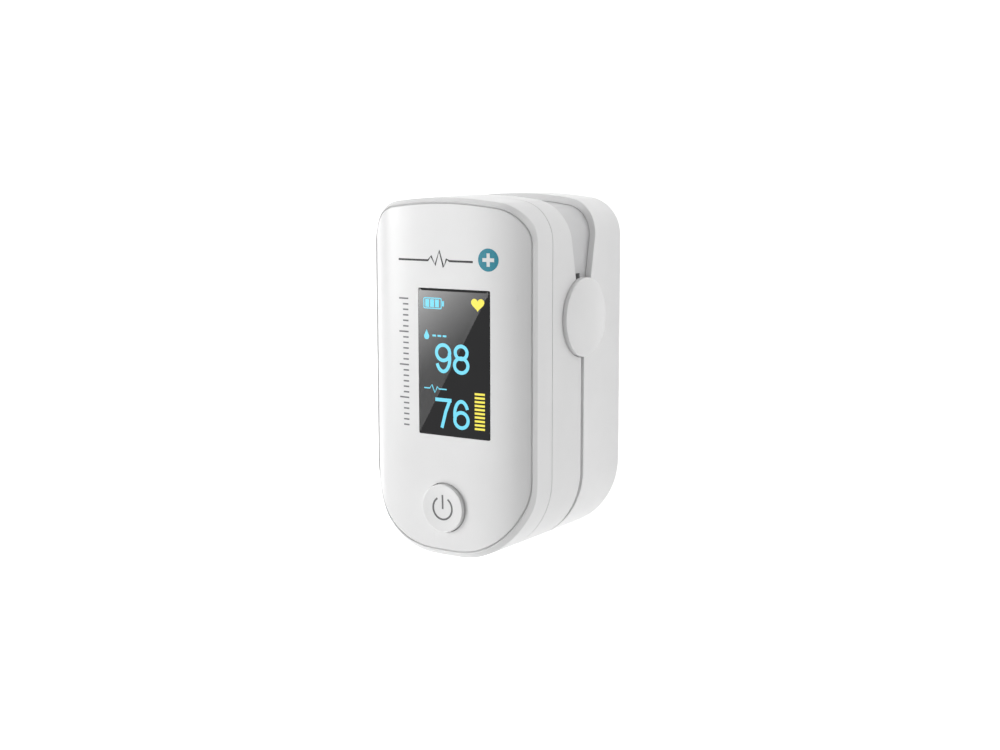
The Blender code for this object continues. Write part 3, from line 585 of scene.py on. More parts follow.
def make_finishes():
    """One material for each slot of the record."""
    return {
        "housing_white": moulded("housing_white", (0.80,) * 3, 0.42, 0.2, 0.0025),
        "gloss_white": moulded("gloss_white", (0.82,) * 3, 0.34, 2.0, 0.002,
                               Coat_Weight=0.25, Coat_Roughness=0.25),
        "frame_grey": moulded("frame_grey", (0.66, 0.66, 0.665), 0.48, 0.2, 0.004),
        "chip_black": moulded("chip_black", (0.030, 0.030, 0.032), 0.5, 0.09, 0.012,
                              variation=0.12),
        "window_glass": uneven("window_glass", [(0.009, 0.009, 0.010), (0.011, 0.011, 0.012)],
                               (5, 2.0), (1.2, 3.0, 0.008, 0.02), (6, 1.0, 0.0004), IOR=1.5),
        "silicone": uneven("silicone", [(0.165, 0.172, 0.186), (0.200, 0.206, 0.222)],
                           (4, 4.0), (0.6, 4.0, 0.55, 0.72), (0.1, 3.0, 0.012),
                           Sheen_Weight=0.25, Sheen_Roughness=0.5),
        "ceramic_tan": uneven("ceramic_tan", [(0.42, 0.31, 0.20), (0.54, 0.42, 0.29)],
                              (0.5, 4.0), (0.3, 3.0, 0.4, 0.6), (0.08, 3.0, 0.01)),
        "led_clear": uneven("led_clear", [(0.80, 0.74, 0.66), (0.88, 0.84, 0.78)],
                            (1.0, 3.0), (0.5, 2.0, 0.06, 0.14), (0.6, 2.0, 0.005),
                            Transmission_Weight=0.35, Coat_Weight=0.6),
        "board_green": solder_mask(),
        "copper_film": polyimide(),
        "steel": metal("steel", (0.70, 0.70, 0.72), 0.26, (1.0, 0.08, 1.0)),
        "nickel": metal("nickel", (0.76, 0.74, 0.70), 0.24, (0.08, 1.0, 1.0)),
        "battery_wrap": cell_sleeve("battery_wrap", 1),
    }


FINISH = make_finishes()
# A lighter copy of the housing white. Its painted light makes the back shell and the door look
# more brightly lit than the rings.
PAINTED_LIGHTER_BACK_WHITE = moulded("back_white_painted_lighter", (0.87,) * 3, 0.42, 0.2, 0.0025)
DISC_WHITE = moulded("disc_white", (0.79,) * 3, 0.34, 0.4, 0.001, Coat_Weight=1.0,
                     Coat_Roughness=0.2)


# Front half --------------------


def make_face_panel():
    """Rolled face plate with eased edges round its outline, display opening and button hole."""
    rings = [[(x, y, -drop) for x, y in outline(-inset)]
             for inset, drop in quarter(0.16 * MM)[::-1]]
    rings.append([(x, y, -COVER_THICKNESS) for x, y in outline()])
    shape = loft(rings)
    places = [FACE_HALF * (1 - (1 - share) ** 1.7) for share in steps(0.08, 0.985, 24)]
    slice_across(shape, places + [-x for x in places])
    drape(shape, lambda x, y: face_height(x))
    bmesh.ops.triangulate(shape, faces=shape.faces)
    panel = to_object("face_panel", shape)
    combine(panel, [rod(1.5 * MM, (x, y, 0), RING_SEAM + 1.1 * MM, face_height(x) - 0.5 * MM)
                    for x, y in POSTS], "UNION")
    seat = 0.015 * MM
    opening = loft([[(x, y, face_height(x) + rise) for x, y in window_loop(seat + grow, grow)]
                    for grow, rise in flared_edge(0.03 * MM)])
    bmesh.ops.triangulate(opening, faces=opening.faces)
    hole = turned([(button_radius() + 0.1 * MM + grow, rise)
                   for grow, rise in flared_edge(0.06 * MM)], (BUTTON.x, BUTTON.y, DEPTH))
    bores = [rod(0.8 * MM, (x, y, 0), RING_SEAM, 28 * MM) for x, y in POSTS]
    combine(panel, [opening, hole] + bores)
    piece(panel, "front_half", "gloss_white", "face_cover")


def window_loop(grow, rounder):
    """The window's outline, grown evenly; rounder adds to the radius of its corners."""
    half = (WINDOW_HIGH - WINDOW_LOW) / 2
    return moved(rounded_rectangle(half.x + grow, half.y + grow, 0.25 * MM + rounder),
                 WINDOW.x, WINDOW.y)


def flared_edge(ease):
    """(outward, upward) steps of a cutter that rounds the edge of the hole it cuts."""
    return ([(0.0, -3 * MM)] + [(across, -along) for across, along in quarter(ease)]
            + [(ease, 1 * MM)])


def button_radius():
    """The button's cap is smaller than the retaining flange that gives its box."""
    return (BUTTON_HIGH.x - BUTTON_LOW.x) / 2 - 0.92 * MM


def window_height(x, y):
    """Height of the window, which lies just below the rolled face."""
    return face_height(x) - (DEPTH - WINDOW_HIGH.z)


def make_display():
    """Polished window with the lit read-out on it."""
    ease = 0.02 * MM
    loops = [(0.4 * MM, 0.0)] + quarter(ease)[::-1] + [(0.0, 0.9 * MM)]
    rings = [[(x, y, -drop) for x, y in window_loop(-inset, -min(inset, ease))]
             for inset, drop in loops]
    glass = to_object("display_glass", drape(loft(rings), window_height, 0.4 * MM))
    piece(glass, "front_half", "window_glass", "display_window")
    film = 0.02 * MM
    for name, shapes, glow, colour in (
            ("display_readings", cyan_marks(film), "lit_cyan", (0.17, 0.72, 0.92)),
            ("display_signs", yellow_marks(film), "lit_yellow", (0.96, 0.84, 0.10))):
        marks = merged(shapes)
        top_left = Vector((WINDOW_LOW.x, WINDOW_HIGH.y, film / 4))
        bmesh.ops.translate(marks, vec=top_left, verts=marks.verts)
        piece(to_object(name, drape(marks, window_height, 0.5 * MM)), "front_half",
              "window_glass", material=lit_pixels(glow, colour))


def band(points, width):
    """Outline of a stroke of even width along an open line of points."""
    left = []
    right = []
    for i, point in enumerate(points):
        before = Vector(points[max(0, i - 1)])
        after = Vector(points[min(len(points) - 1, i + 1)])
        ahead = (after - before).normalized()
        across = Vector((-ahead.y, ahead.x)) * width / 2
        left.append(tuple(Vector(point) + across))
        right.append(tuple(Vector(point) - across))
    return left + right[::-1]


def rectangle(low, high):
    return [(low[0], low[1]), (high[0], low[1]), (high[0], high[1]), (low[0], high[1])]


def moved(points, x, y):
    return [(px + x, py + y) for px, py in points]


def arc(centre, radii, start, end, count=40):
    """Points along an ellipse between two angles in degrees."""
    return [(centre[0] + radii[0] * cos(radians(a)),
             centre[1] + radii[1] * sin(radians(a)))
            for a in steps(start, end, count)]


def numeral(digit, left, low, film):
    """One figure of the read-out, drawn with strokes of even width."""
    width, height, stroke = 3.15 * MM, 4.84 * MM, 0.58 * MM
    across = (width - stroke) / 2
    middle = left + width / 2

    def ring(centre_y, radii):
        edges = [arc((middle, centre_y), (radii[0] + side, radii[1] + side), 0, 360)[:-1]
                 for side in (stroke / 2, -stroke / 2)]
        return flat_shape(edges, film)

    def line(points):
        return flat_shape([band(points, stroke)], film)

    if digit == "8":
        upper, lower = 1.03 * MM, 1.17 * MM
        return joined([ring(low + height - stroke / 2 - upper, (across * 0.88, upper)),
                       ring(low + stroke / 2 + lower, (across, lower))])
    if digit == "7":
        top = low + height - stroke / 2
        return joined([line([(left, top), (left + width, top)]),
                       line([(left + width - stroke * 0.55, top),
                             (left + width * 0.64, low + height * 0.55),
                             (left + width * 0.40, low)])])
    loop = 1.24 * MM
    turned_over = digit == "6"
    centre_y = stroke / 2 + loop if turned_over else height - stroke / 2 - loop
    sweep = (25, 205) if turned_over else (205, 385)
    tail = arc((middle, low + height / 2), (across, (height - stroke) / 2), *sweep)
    return joined([ring(low + centre_y, (across, loop)), line(tail)])


def tile(film, x, y, width, height):
    """A flat rectangle; its lower left corner and its size are in millimetres."""
    return flat_shape([rectangle(mm(x, y), mm(x + width, y + height))], film)


def cyan_marks(film):
    """Battery gauge, droplet and pulse signs and the two readings, from the top left corner."""
    gauge = [moved(rounded_rectangle(*mm(1.78 - line, 0.90 - line, corner), 4),
                   *mm(2.80, -2.38)) for line, corner in ((0.0, 0.25), (0.17, 0.12))]
    shapes = [flat_shape(gauge, film), tile(film, 4.66, -2.80, 0.36, 0.84)]
    shapes += [tile(film, 1.40 + number * 0.95, -3.00, 0.75, 1.24) for number in range(3)]
    shapes += [numeral(digit, *mm(left, low), film)
               for digit, left, low in (("9", 3.23, -13.54), ("8", 6.71, -13.54),
                                        ("7", 3.23, -22.43), ("6", 6.71, -22.43))]
    shapes.append(flat_shape([moved(droplet(0.5 * MM), *mm(1.6, -7.75))], film))
    shapes += [tile(film, 2.75 + number, -7.72, 0.7, 0.3) for number in range(3)]
    pulse = [(0.0, 0.0), (1.1, 0.0), (1.5, 0.6), (2.1, -0.65), (2.6, 0.35), (2.9, 0.0),
             (4.4, 0.0)]
    line = [mm(1.05 + x, -16.15 + y) for x, y in pulse]
    return shapes + [flat_shape([band(line, 0.2 * MM)], film)]


def droplet(radius):
    """A drop: a round bottom drawn out to a point."""
    belly = [(radius * cos(a), radius * sin(a))
             for a in steps(pi * 0.92, pi * 2.08, 20)]
    return belly + [(0.0, 2.2 * radius)]


def yellow_marks(film):
    """Heart sign and the column of ten pulse bars, from the top left corner of the window."""
    heart = []
    for a in steps(0, 2 * pi, 48)[:-1]:
        x = 16 * sin(a) ** 3
        y = 13 * cos(a) - 5 * cos(2 * a) - 2 * cos(3 * a) - cos(4 * a)
        heart.append(mm(x * 0.076, y * 0.072))
    bars = [tile(film, 10.84, -22.2 + number * 0.622, 1.88, 0.34) for number in range(10)]
    return [flat_shape([moved(heart, *mm(11.45, -2.16))], film)] + bars


def make_face_print():
    """Generic printed marks where such a device carries its name and its kind."""
    film = 0.03 * MM
    trace = [(-8.8, 18.6), (-2.9, 18.6), (-2.3, 19.3), (-1.5, 17.9), (-0.7, 20.2), (0.1, 17.6),
             (0.7, 18.9), (1.2, 18.6), (5.7, 18.6)]
    line = band([mm(*point) for point in trace], 0.32 * MM)
    centre = mm(8.5, 19.0)
    plus = [mm(1.05, 0.3), mm(0.3, 0.3), mm(0.3, 1.05)]
    plus += [(-y, x) for x, y in plus] + [(-x, -y) for x, y in plus] + [(y, -x) for x, y in plus]
    badge = [moved(circle(1.8 * MM, 64), *centre), moved(plus, *centre)]
    ticks = []
    for number in range(24):
        y = 12.3 - number * 0.9
        reach = 1.9 if number % 6 == 0 else 1.1
        ticks.append([band([mm(-6.9 - reach, y), mm(-6.9, y)], 0.24 * MM)])
    for name, colour_name, colour, marks in (
            ("face_trace", "ink_black", (0.02, 0.02, 0.022), [[line]]),
            ("face_badge", "ink_teal", (0.02, 0.25, 0.34), [badge]),
            ("face_scale", "ink_grey", (0.17, 0.17, 0.18), ticks)):
        shapes = [drape(flat_shape(loops, film), lambda x, y: face_height(x) + film / 4,
                        0.4 * MM) for loops in marks]
        piece(to_object(name, merged(shapes)), "front_half", "gloss_white",
              material=ink(colour_name, colour))


def make_bezel_ring():
    """Chamfered front ring that carries the face panel on a ledge."""
    low = RING_SEAM + GAP
    drop = COVER_THICKNESS + 0.3 * MM
    rings = [wall_ring(WALL, at(low))]
    rings += rounded_rim(at(low), 1, 0.09 * MM)[::-1]
    outer, inner = BEZEL / MM, 0.2
    bottom, top = 0.86, 0.06
    chamfer = [(outer, bottom + 0.14), (outer - 0.02, bottom + 0.03),
               (outer - 0.07, bottom - 0.08), (inner + 0.13, top + 0.07),
               (inner + 0.07, top + 0.01), (inner + 0.03, top + 0.01), (inner, top + 0.07)]
    rings += [face_ring(*mm(grow, depth), (grow - inner) / (outer - inner))
              for grow, depth in chamfer]
    groove, seat = mm(0.4, 0.03)
    ledge = -1.3 * MM
    rings += [face_ring(inner * MM, groove), face_ring(seat, groove), face_ring(seat, drop),
              face_ring(ledge, drop), face_ring(ledge, drop + 1.0 * MM)]
    rings.append([(x, y, face_height(x) - drop - 2.0 * MM)
                  for x, y, _ in wall_ring(WALL, at(27 * MM))])
    piece(to_object("bezel_ring", loft(rings, closed=True)), "front_half", "housing_white",
          "front_housing")


def hinge_recesses():
    """Round pockets and through holes for the hinge discs, one pair per side."""
    shapes = []
    for side in (-MM, MM):
        shapes.append(hinge_rod(disc_radius() + 0.12 * MM, side * 15.25, side * 18,
                                CIRCLE_STEPS))
        shapes.append(hinge_rod(CAP_BOSS + 0.3 * MM, side * 13.9, side * 16))
    return shapes


def disc_radius():
    low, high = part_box("hinge_cap_right")
    return (high.y - low.y) / 2


def make_middle_ring():
    """Second ring with the finger mouth, the hinge lugs and the sloping rim."""
    rings = [wall_ring(WALL - GAP, at(RING_SEAM))]
    rings += rounded_rim(at(RING_SEAM), -1, 0.09 * MM)[::-1]
    rings += rounded_rim(front_rim, 1, 0.16 * MM)
    rings.append(wall_ring(WALL - GAP, front_rim))
    ring = to_object("middle_ring", loft(rings, closed=True))
    shelf = to_object("shelf", prism(outline(-GAP), "Z", RING_SEAM - 0.9 * MM,
                                     RING_SEAM - GAP))
    low, high = RING_SEAM - 2 * MM, RING_SEAM + 2 * MM
    pad_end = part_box("front_finger_pad")[1].y + 0.2 * MM
    combine(shelf, [block((-half, low_y, low), (half, high_y, high))
                    for half, low_y, high_y in ((FAR, 15.2 * MM, FAR), (13 * MM, 14.6 * MM, FAR),
                                                (10.2 * MM, -FAR, pad_end))])
    added = [taken(shelf)]
    removed = []
    for side in (-MM, MM):
        middle = side * 12.55
        added.append(block((middle - 0.55 * MM, HINGE.y - LUG_RADIUS, HINGE.z),
                           (middle + 0.55 * MM, HINGE.y + LUG_RADIUS, RING_SEAM - 0.5 * MM)))
        added.append(hinge_rod(LUG_RADIUS, side * 12.0, side * 13.1))
        removed.append(hinge_rod(PIN_RADIUS + GAP, side * 11, side * 13.9))
    combine(ring, added, "UNION")
    mouth = prism(arch(MOUTH_HALF, MOUTH_TOP, 5 * MM), "Y", -31 * MM, -18 * MM)
    bores = [rod(0.9 * MM, (x, y, 0), RING_SEAM - 3 * MM, RING_SEAM + 3 * MM)
             for x, y in POSTS]
    combine(ring, [mouth] + removed + bores + hinge_recesses())
    soften(ring, 0.3 * MM, lambda p: near_mouth(p) and p.z < MOUTH_TOP + 0.1 * MM)
    piece(ring, "front_half", "housing_white", "mid_housing")


def near_mouth(p):
    return p.y < -18 * MM and abs(p.x) < MOUTH_HALF + 0.1 * MM


BUTTON_DISH = 0.18 * MM
DISH_RADIUS = 3.78 * MM


def dish(radius):
    """Depth of the button's hollow top below its rim at some distance from its middle."""
    return -BUTTON_DISH * (1 - (min(radius, DISH_RADIUS) / DISH_RADIUS) ** 2)


def make_button():
    """Dished button with a soft shoulder, a retaining flange and a stem."""
    rim = BUTTON_HIGH.z
    cap = button_radius()
    flange = (BUTTON_HIGH.x - BUTTON_LOW.x) / 2
    profile = [(max(radius, AXIS), rim + dish(radius))
               for radius in steps(0, DISH_RADIUS, 24)]
    profile += [(cap - (cap - DISH_RADIUS) * across, rim - 0.2 * MM * along)
                for along, across in quarter(1.0, 8)[1:]]
    ledge = DEPTH - 1.6 * MM
    ease, thickness, stem = mm(0.06, 0.6, 1.3)
    profile += [(cap, ledge), (flange - ease, ledge), (flange, ledge - ease),
                (flange, ledge - thickness + ease), (flange - ease, ledge - thickness),
                (stem, ledge - thickness), (stem, BUTTON_LOW.z + 0.15 * MM),
                (stem - 0.15 * MM, BUTTON_LOW.z), (AXIS, BUTTON_LOW.z)]
    button = to_object("button_cap", turned(profile, (BUTTON.x, BUTTON.y, 0)))
    piece(button, "button", "gloss_white", "power_button")
    film, radius, stroke = mm(0.03, 1.84, 0.3)
    opening = radians(33)
    ring = [(radius * sin(a), radius * cos(a)) for a in steps(opening, 2 * pi - opening, 64)]
    bar = [(0, y) for y in steps(-0.14 * MM, 2.2 * MM, 6)]
    symbol = merged([flat_shape([band(line, stroke)], film) for line in (ring, bar)])
    drape(symbol, lambda x, y: rim + dish(hypot(x, y)) + film / 4)
    bmesh.ops.translate(symbol, vec=(BUTTON.x, BUTTON.y, 0), verts=symbol.verts)
    piece(to_object("power_symbol", symbol), "button", "gloss_white",
          material=ink("ink_symbol", (0.12, 0.12, 0.125)))


def make_front_pad():
    """Soft half-pipe over the finger with rounded lips and a rim round its window."""
    low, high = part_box("front_finger_pad")
    shoulder = 2.8 * MM
    outer = [(high.x, low.z), (high.x, high.z - shoulder), (high.x - shoulder, high.z),
             (low.x + shoulder, high.z), (low.x, high.z - shoulder), (low.x, low.z)]
    pad = to_object("front_pad", prism(outer, "Y", low.y, high.y))
    channel = prism(arch(CHANNEL_HALF, CHANNEL_TOP, 5 * MM), "Y", -31 * MM, high.y - 1.2 * MM)
    hole = prism(moved(rounded_rectangle(*mm(2.1, 1.8, 0.6)), 0, middle_of("led_emitter").y),
                 "Z", 20 * MM, 25 * MM)
    combine(pad, [channel, hole, mouth_trim()])
    soften(pad, 0.28 * MM, lambda p: True)
    finish_pad(pad, "front_half", "front_finger_pad")


def mouth_trim():
    """Everything outside the body's inner wall near the finger mouth."""
    trim = to_object("trim", block((-FAR, -FAR, 5 * MM), (FAR, -20 * MM, 25 * MM)))
    inside = [(x, y) for x, y, _ in wall_ring(WALL + GAP, at(FRONT_RIM))]
    return taken(combine(trim, [prism(inside, "Z", 4 * MM, 26 * MM)]))


def finish_pad(pad, body, node):
    piece(pad, body, "silicone", node, sharp=60)


# Rear half --------------------


def back_rings(shrink=0.0):
    """Loops up the outside of the back, from the flat it lies on round a soft edge."""
    return [wall_ring(shrink + across, at(along)) for along, across in quarter(1.6 * MM, 9)]


def make_back_shell():
    """Back shell with its sloping rim, battery bay, door grooves and screw seats."""
    rings = back_rings() + rounded_rim(rear_rim, -1, 0.14 * MM)
    rings += [wall_ring(WALL, rear_rim), wall_ring(WALL, at(FLOOR))]
    shell = to_object("back_shell", loft(rings))
    door_low, door_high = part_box("battery_door")
    door_end = door_low.y - 0.15 * MM
    cuts = [block((-half, start, low), (half, end, high)) for half, start, end, low, high in (
        (BAY[0], -BAY[1], BAY[1], 1.15 * MM, 4 * MM),
        (11.2 * MM, door_end, FAR, -1 * MM, 0.7 * MM),
        (door_high.x + 0.15 * MM, door_end, FAR, 0.6 * MM, 1.25 * MM),
        (MOUTH_HALF, -31 * MM, -20 * MM, 12.65 * MM, 20 * MM))]
    for x, y, head in screw_places():
        cuts += [rod(1.5 * MM, (x, y, 0), -1 * MM, head),
                 rod(0.85 * MM, (x, y, 0), -1 * MM, 5 * MM)]
    combine(shell, cuts + hinge_recesses())
    soften(shell, 0.3 * MM, lambda p: near_mouth(p) and p.z > 12 * MM)
    soften(shell, 0.12 * MM, lambda p: p.z < 0.05 * MM)
    piece(shell, "rear_half", "housing_white", "rear_housing", PAINTED_LIGHTER_BACK_WHITE)


def screw_places():
    """x, y and the height of the head's underside for each screw of the rear half."""
    places = []
    for number in range(1, 5):
        middle = middle_of(f"rear_screw_{number}")
        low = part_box(f"rear_screw_{number}")[0]
        places.append((middle.x, middle.y, low.z + 0.8 * MM))
    return places


def make_screws():
    """Pan head screws with a cross recess."""
    for number, (x, y, head) in enumerate(screw_places(), start=1):
        node = f"rear_screw_{number}"
        low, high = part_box(node)
        under = head - 0.05 * MM
        radius, core, shaft = mm(1.35, 0.6, 0.7)
        profile = [(AXIS, low.z), (0.8 * MM, low.z), (1.12 * MM, low.z + 0.12 * MM),
                   (radius, low.z + 0.35 * MM), (radius, under), (shaft, under)]
        for z in steps(under + 0.3 * MM, high.z - 0.7 * MM, 9):
            profile += [(shaft, z), (core, z + 0.15 * MM)]
        profile += [(0.35 * MM, high.z), (AXIS, high.z)]
        screw = to_object(f"back_screw_{number}", turned(profile, (x, y, 0), count=40))
        deep = low.z + 0.45 * MM
        combine(screw, [block((x - across, y - along, -FAR), (x + across, y + along, deep))
                        for across, along in (mm(0.8, 0.14), mm(0.14, 0.8))])
        piece(screw, "rear_half", "steel", node)


def make_inner_frame():
    """Bay roof, skirt that closes the wedge, screw bosses and hinge lugs."""
    inset = WALL + 0.04 * MM
    inner = inset + 0.8 * MM
    skirt_low = at(7.4 * MM)

    def upper(y):
        return min(22 * MM, front_rim(y) + 1.2 * MM)

    rings = [wall_ring(inset, skirt_low)] + rounded_rim(upper, -1, 0.12 * MM, inset)
    rings += [wall_ring(inner, upper), wall_ring(inner, skirt_low)]
    deck = to_object("inner_frame", loft(rings, closed=True))
    lip = FRONT_RIM - 0.15 * MM
    lip_end, skirt_end, roof_top = mm(14.4, 16.1, 12.3)
    combine(deck, [block((-FAR, -FAR, lip), (FAR, lip_end + GAP, 30 * MM)),
                   block((-FAR, lip_end, 13.2 * MM), (FAR, skirt_end, 30 * MM))])
    half_x, half_y = BAY
    rib_half = half_x - 1.6 * MM
    roof = [(x, y) for x, y, _ in wall_ring(inset + 0.3 * MM, at(REAR_RIM))]
    added = [prism(roof, "Z", 12.0 * MM, 12.6 * MM)]
    for low_y in (-half_y - 0.9 * MM, half_y + 0.1 * MM):
        added.append(block((-rib_half, low_y, 2.4 * MM),
                           (rib_half, low_y + 0.8 * MM, roof_top)))
    cuts = []
    for x, y, _ in screw_places():
        added.append(rod(1.35 * MM, (x, y, 0), FLOOR + GAP, roof_top))
        cuts.append(rod(0.8 * MM, (x, y, 0), 0, 8.5 * MM))
    for side in (-MM, MM):
        added.append(hinge_rod(LUG_RADIUS + 0.2 * MM, side * 13.35, side * 14.3))
        cuts.append(hinge_rod(PIN_RADIUS + GAP, side * 12.5, side * 15))
        cuts.append(hinge_rod(CAP_BOSS + GAP, side * 14.4, side * 16))
        middle = side * 11.45
        cuts.append(block((middle - 1.85 * MM, HINGE.y - 3 * MM, 10 * MM),
                          (middle + 1.8 * MM, HINGE.y + 3 * MM, 13.3 * MM)))
    combine(deck, added, "UNION")
    sensor = middle_of("photodiode")
    pad_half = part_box("rear_finger_pad")[1].x + 0.2 * MM
    window = 1.9 * MM
    cuts.append(block((-pad_half, -31 * MM, 12.65 * MM), (pad_half, -20 * MM, 20 * MM)))
    cuts.append(block((-window, sensor.y - window, 10 * MM), (window, sensor.y + window, 14 * MM)))
    combine(deck, cuts)
    piece(deck, "rear_half", "frame_grey", "rear_deck")


def make_rear_pad():
    """Soft bed under the finger, slightly hollow, with a rim round the sensor window."""
    low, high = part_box("rear_finger_pad")
    bed = [(x, 13.35 * MM + 0.55 * MM * (x / CHANNEL_HALF) ** 2)
           for x in steps(-CHANNEL_HALF, CHANNEL_HALF, 32)]
    section = [(low.x, low.z), (low.x, high.z)] + bed + [(high.x, high.z), (high.x, low.z)]
    pad = to_object("rear_pad", prism(section, "Y", low.y, high.y))
    hole = prism(moved(rounded_rectangle(*mm(1.8, 1.8, 0.5)), 0, middle_of("photodiode").y),
                 "Z", 10 * MM, 15 * MM)
    combine(pad, [hole, mouth_trim()])
    soften(pad, 0.2 * MM, lambda p: p.z > 13 * MM)
    finish_pad(pad, "rear_half", "rear_finger_pad")


def make_door():
    """Sliding door with side tongues, thumb grooves and an arrow for its direction."""
    low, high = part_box("battery_door")
    edge, shrink = mm(11.05, 0.02)
    door = to_object("battery_lid", loft(back_rings(shrink) + [wall_ring(shrink, at(REAR_RIM))]))
    combine(door, [block((low.x, low.y, -1 * MM), (high.x, FAR, high.z))], "INTERSECT")
    cuts = []
    for middle in (-edge - 1.5 * MM, edge + 1.5 * MM):
        cuts.append(block((middle - 1.5 * MM, -FAR, -2 * MM),
                          (middle + 1.5 * MM, FAR, 0.72 * MM)))
    groove, groove_axis = mm(0.45, -0.05)
    for number in range(6):
        half = (5.6 - 0.35 * abs(number - 2.5)) * MM
        ends = [(groove * cos(a), -half - groove * sin(a)) for a in steps(pi / 2 * 0.95, 0, 6)]
        profile = ends + [(radius, -along) for radius, along in ends[::-1]]
        cuts.append(turned(profile, (0, (13.6 + 1.6 * number) * MM, groove_axis), "X", 32))
    arrow = [mm(-2.2, 8.4), mm(2.2, 8.4), mm(0, 11.2)]
    cuts.append(prism(arrow, "Z", -1 * MM, 0.25 * MM))
    combine(door, cuts)
    soften(door, 0.09 * MM, lambda p: p.z < 0.1 * MM
           and (abs(p.x) > edge - 0.3 * MM or p.y < low.y + 0.1 * MM))
    piece(door, "door", "housing_white", "battery_door", PAINTED_LIGHTER_BACK_WHITE)


def make_cell(name, node, sign):
    """Cylindrical cell with a beaded sleeve and a nub; sign is the nub's direction along Y."""
    low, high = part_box(node)
    radius = (high.x - low.x) / 2
    half = (high.y - low.y) / 2
    nub, tip, bead, dent = mm(1.9, 0.35, 0.6, 0.25)
    can = half - 0.8 * MM
    profile = [(AXIS, half), (nub - tip, half), (nub - 0.1 * MM, half - 0.1 * MM),
               (nub, half - tip), (nub + 0.15 * MM, can + 0.02 * MM), (radius - 1.0 * MM, can)]
    profile += [(radius - u, can - v) for v, u in quarter(bead, 6)]
    profile += [(radius - u, v - half) for u, v in quarter(bead, 6)]
    profile += [(3.4 * MM, -half), (3.1 * MM, dent - half), (AXIS, dent - half)]
    spun = turned([(r, sign * along) for r, along in profile], middle_of(node), "Y")
    sleeve = cell_sleeve("battery_wrap_turned", sign) if sign < 0 else None
    piece(to_object(name, spun), "rear_half", "battery_wrap", node, sleeve)


def wire(name, points, radius):
    """Round wire along a list of points, as a mesh."""
    curve = bpy.data.curves.new(name, "CURVE")
    curve.dimensions = "3D"
    curve.bevel_depth = radius
    curve.bevel_resolution = 3
    curve.use_fill_caps = True
    spline = curve.splines.new("POLY")
    spline.points.add(len(points) - 1)
    for point, target in zip(spline.points, points):
        point.co = (*target, 1)
    shape = curve_mesh(curve)
    bmesh.ops.remove_doubles(shape, verts=shape.verts, dist=0.001 * MM)
    bmesh.ops.recalc_face_normals(shape, faces=shape.faces)
    return to_object(name, shape)


def make_battery_spring(name, node, side):
    """Conical contact spring; side is its place along X, and it faces the cell's flat end."""
    low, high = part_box(node)
    centre = middle_of(node)
    wire_radius = 0.22 * MM
    wide = (high.z - low.z) / 2 - wire_radius
    near = (high.y - wire_radius) if side > 0 else (low.y + wire_radius)
    points = []
    for share in steps(0, 1, 96):
        angle = 6 * pi * share
        radius = wide - 1.7 * MM * share
        travel = (high.y - low.y - 2 * wire_radius) * share
        points.append((centre.x + radius * cos(angle), near - side * travel,
                       6.5 * MM + radius * sin(angle)))
    piece(wire(name, points, wire_radius), "rear_half", "nickel", node)


# Hinge --------------------


def make_hinge_disc(side, name, node):
    """Domed disc over the hinge pin, with a soft edge and a boss that fills the bore."""
    low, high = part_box(node)
    radius = disc_radius()
    peak = max(abs(low.x), abs(high.x))
    boss_end = min(abs(low.x), abs(high.x))
    ease, sphere, seat, bore_end = mm(0.15, 42, 15.35, 15.1)
    dome_edge = radius - ease
    fall = dome_edge ** 2 / (2 * sphere)
    profile = [(max(r, AXIS), peak - r ** 2 / (2 * sphere))
               for r in steps(0, dome_edge, 20)]
    profile += [(radius - across, peak - fall - along)
                for along, across in quarter(ease, 8)[1:]]
    bore = PIN_RADIUS + GAP
    profile += [(radius, seat + 0.05 * MM), (radius - 0.05 * MM, seat), (CAP_BOSS, seat),
                (CAP_BOSS, boss_end), (bore, boss_end), (bore, bore_end), (AXIS, bore_end)]
    disc = to_object(name, turned([(r, side * x) for r, x in profile],
                                  (0, HINGE.y, HINGE.z), "X", 128))
    piece(disc, "rear_half", "housing_white", node, DISC_WHITE)


def make_hinge_spring(side, name, node):
    """Torsion spring round the pin; its upper leg reaches into the front half."""
    radius, wire_radius = mm(1.75, 0.225)
    points = [mm(side * 9.9, 15.6, 18.9)]
    for share in steps(0, 1, 112):
        angle = radians(130) + 7 * pi * share
        points.append((side * (9.9 + 1.8 * share) * MM, HINGE.y + radius * cos(angle),
                       HINGE.z + radius * sin(angle)))
    points += [mm(side * 11.7, 12.4, 13.2), mm(side * 11.7, 17.2, 13.1)]
    spring = wire(name, points, wire_radius)
    spring.data.materials.append(FINISH["steel"])
    spring.data.shade_smooth()
    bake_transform(spring)
    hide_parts(node)


def make_hinge_flex():
    """Flexible circuit that loops from the rear deck to the front deck."""
    low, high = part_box("hinge_flex")
    radius = (high.z - low.z) / 2
    film = 0.16 * MM
    y, z = high.y - radius, (low.z + high.z) / 2
    middle = radius - film / 2
    path = [(x, z - middle) for x in steps(low.y, y, 8)[:-1]]
    path += [(y + middle * sin(a), z - middle * cos(a)) for a in steps(0, pi, 28)]
    path += [(x, z + middle) for x in steps(y, y - 7 * MM, 6)[1:]]
    strip = prism(band(path, film), "X", low.x, high.x)
    bmesh.ops.triangulate(strip, faces=[face for face in strip.faces if len(face.verts) > 4])
    flex = to_object("hinge_flex_strip", strip)
    flex.data.materials.append(FINISH["copper_film"])
    flex.data.shade_smooth()
    flex.data.set_sharp_from_angle(angle=radians(35))
    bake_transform(flex)
    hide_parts("hinge_flex")


# Scene --------------------


def dress_cad_nodes():
    """Every CAD node takes the material of its slot."""
    for part in frame["record"]["subparts"]:
        thing = frame["nodes"][part["node"]]
        if not thing.material_slots:
            thing.data.materials.append(None)
        for slot in thing.material_slots:
            slot.material = FINISH[part["material_slot"]]


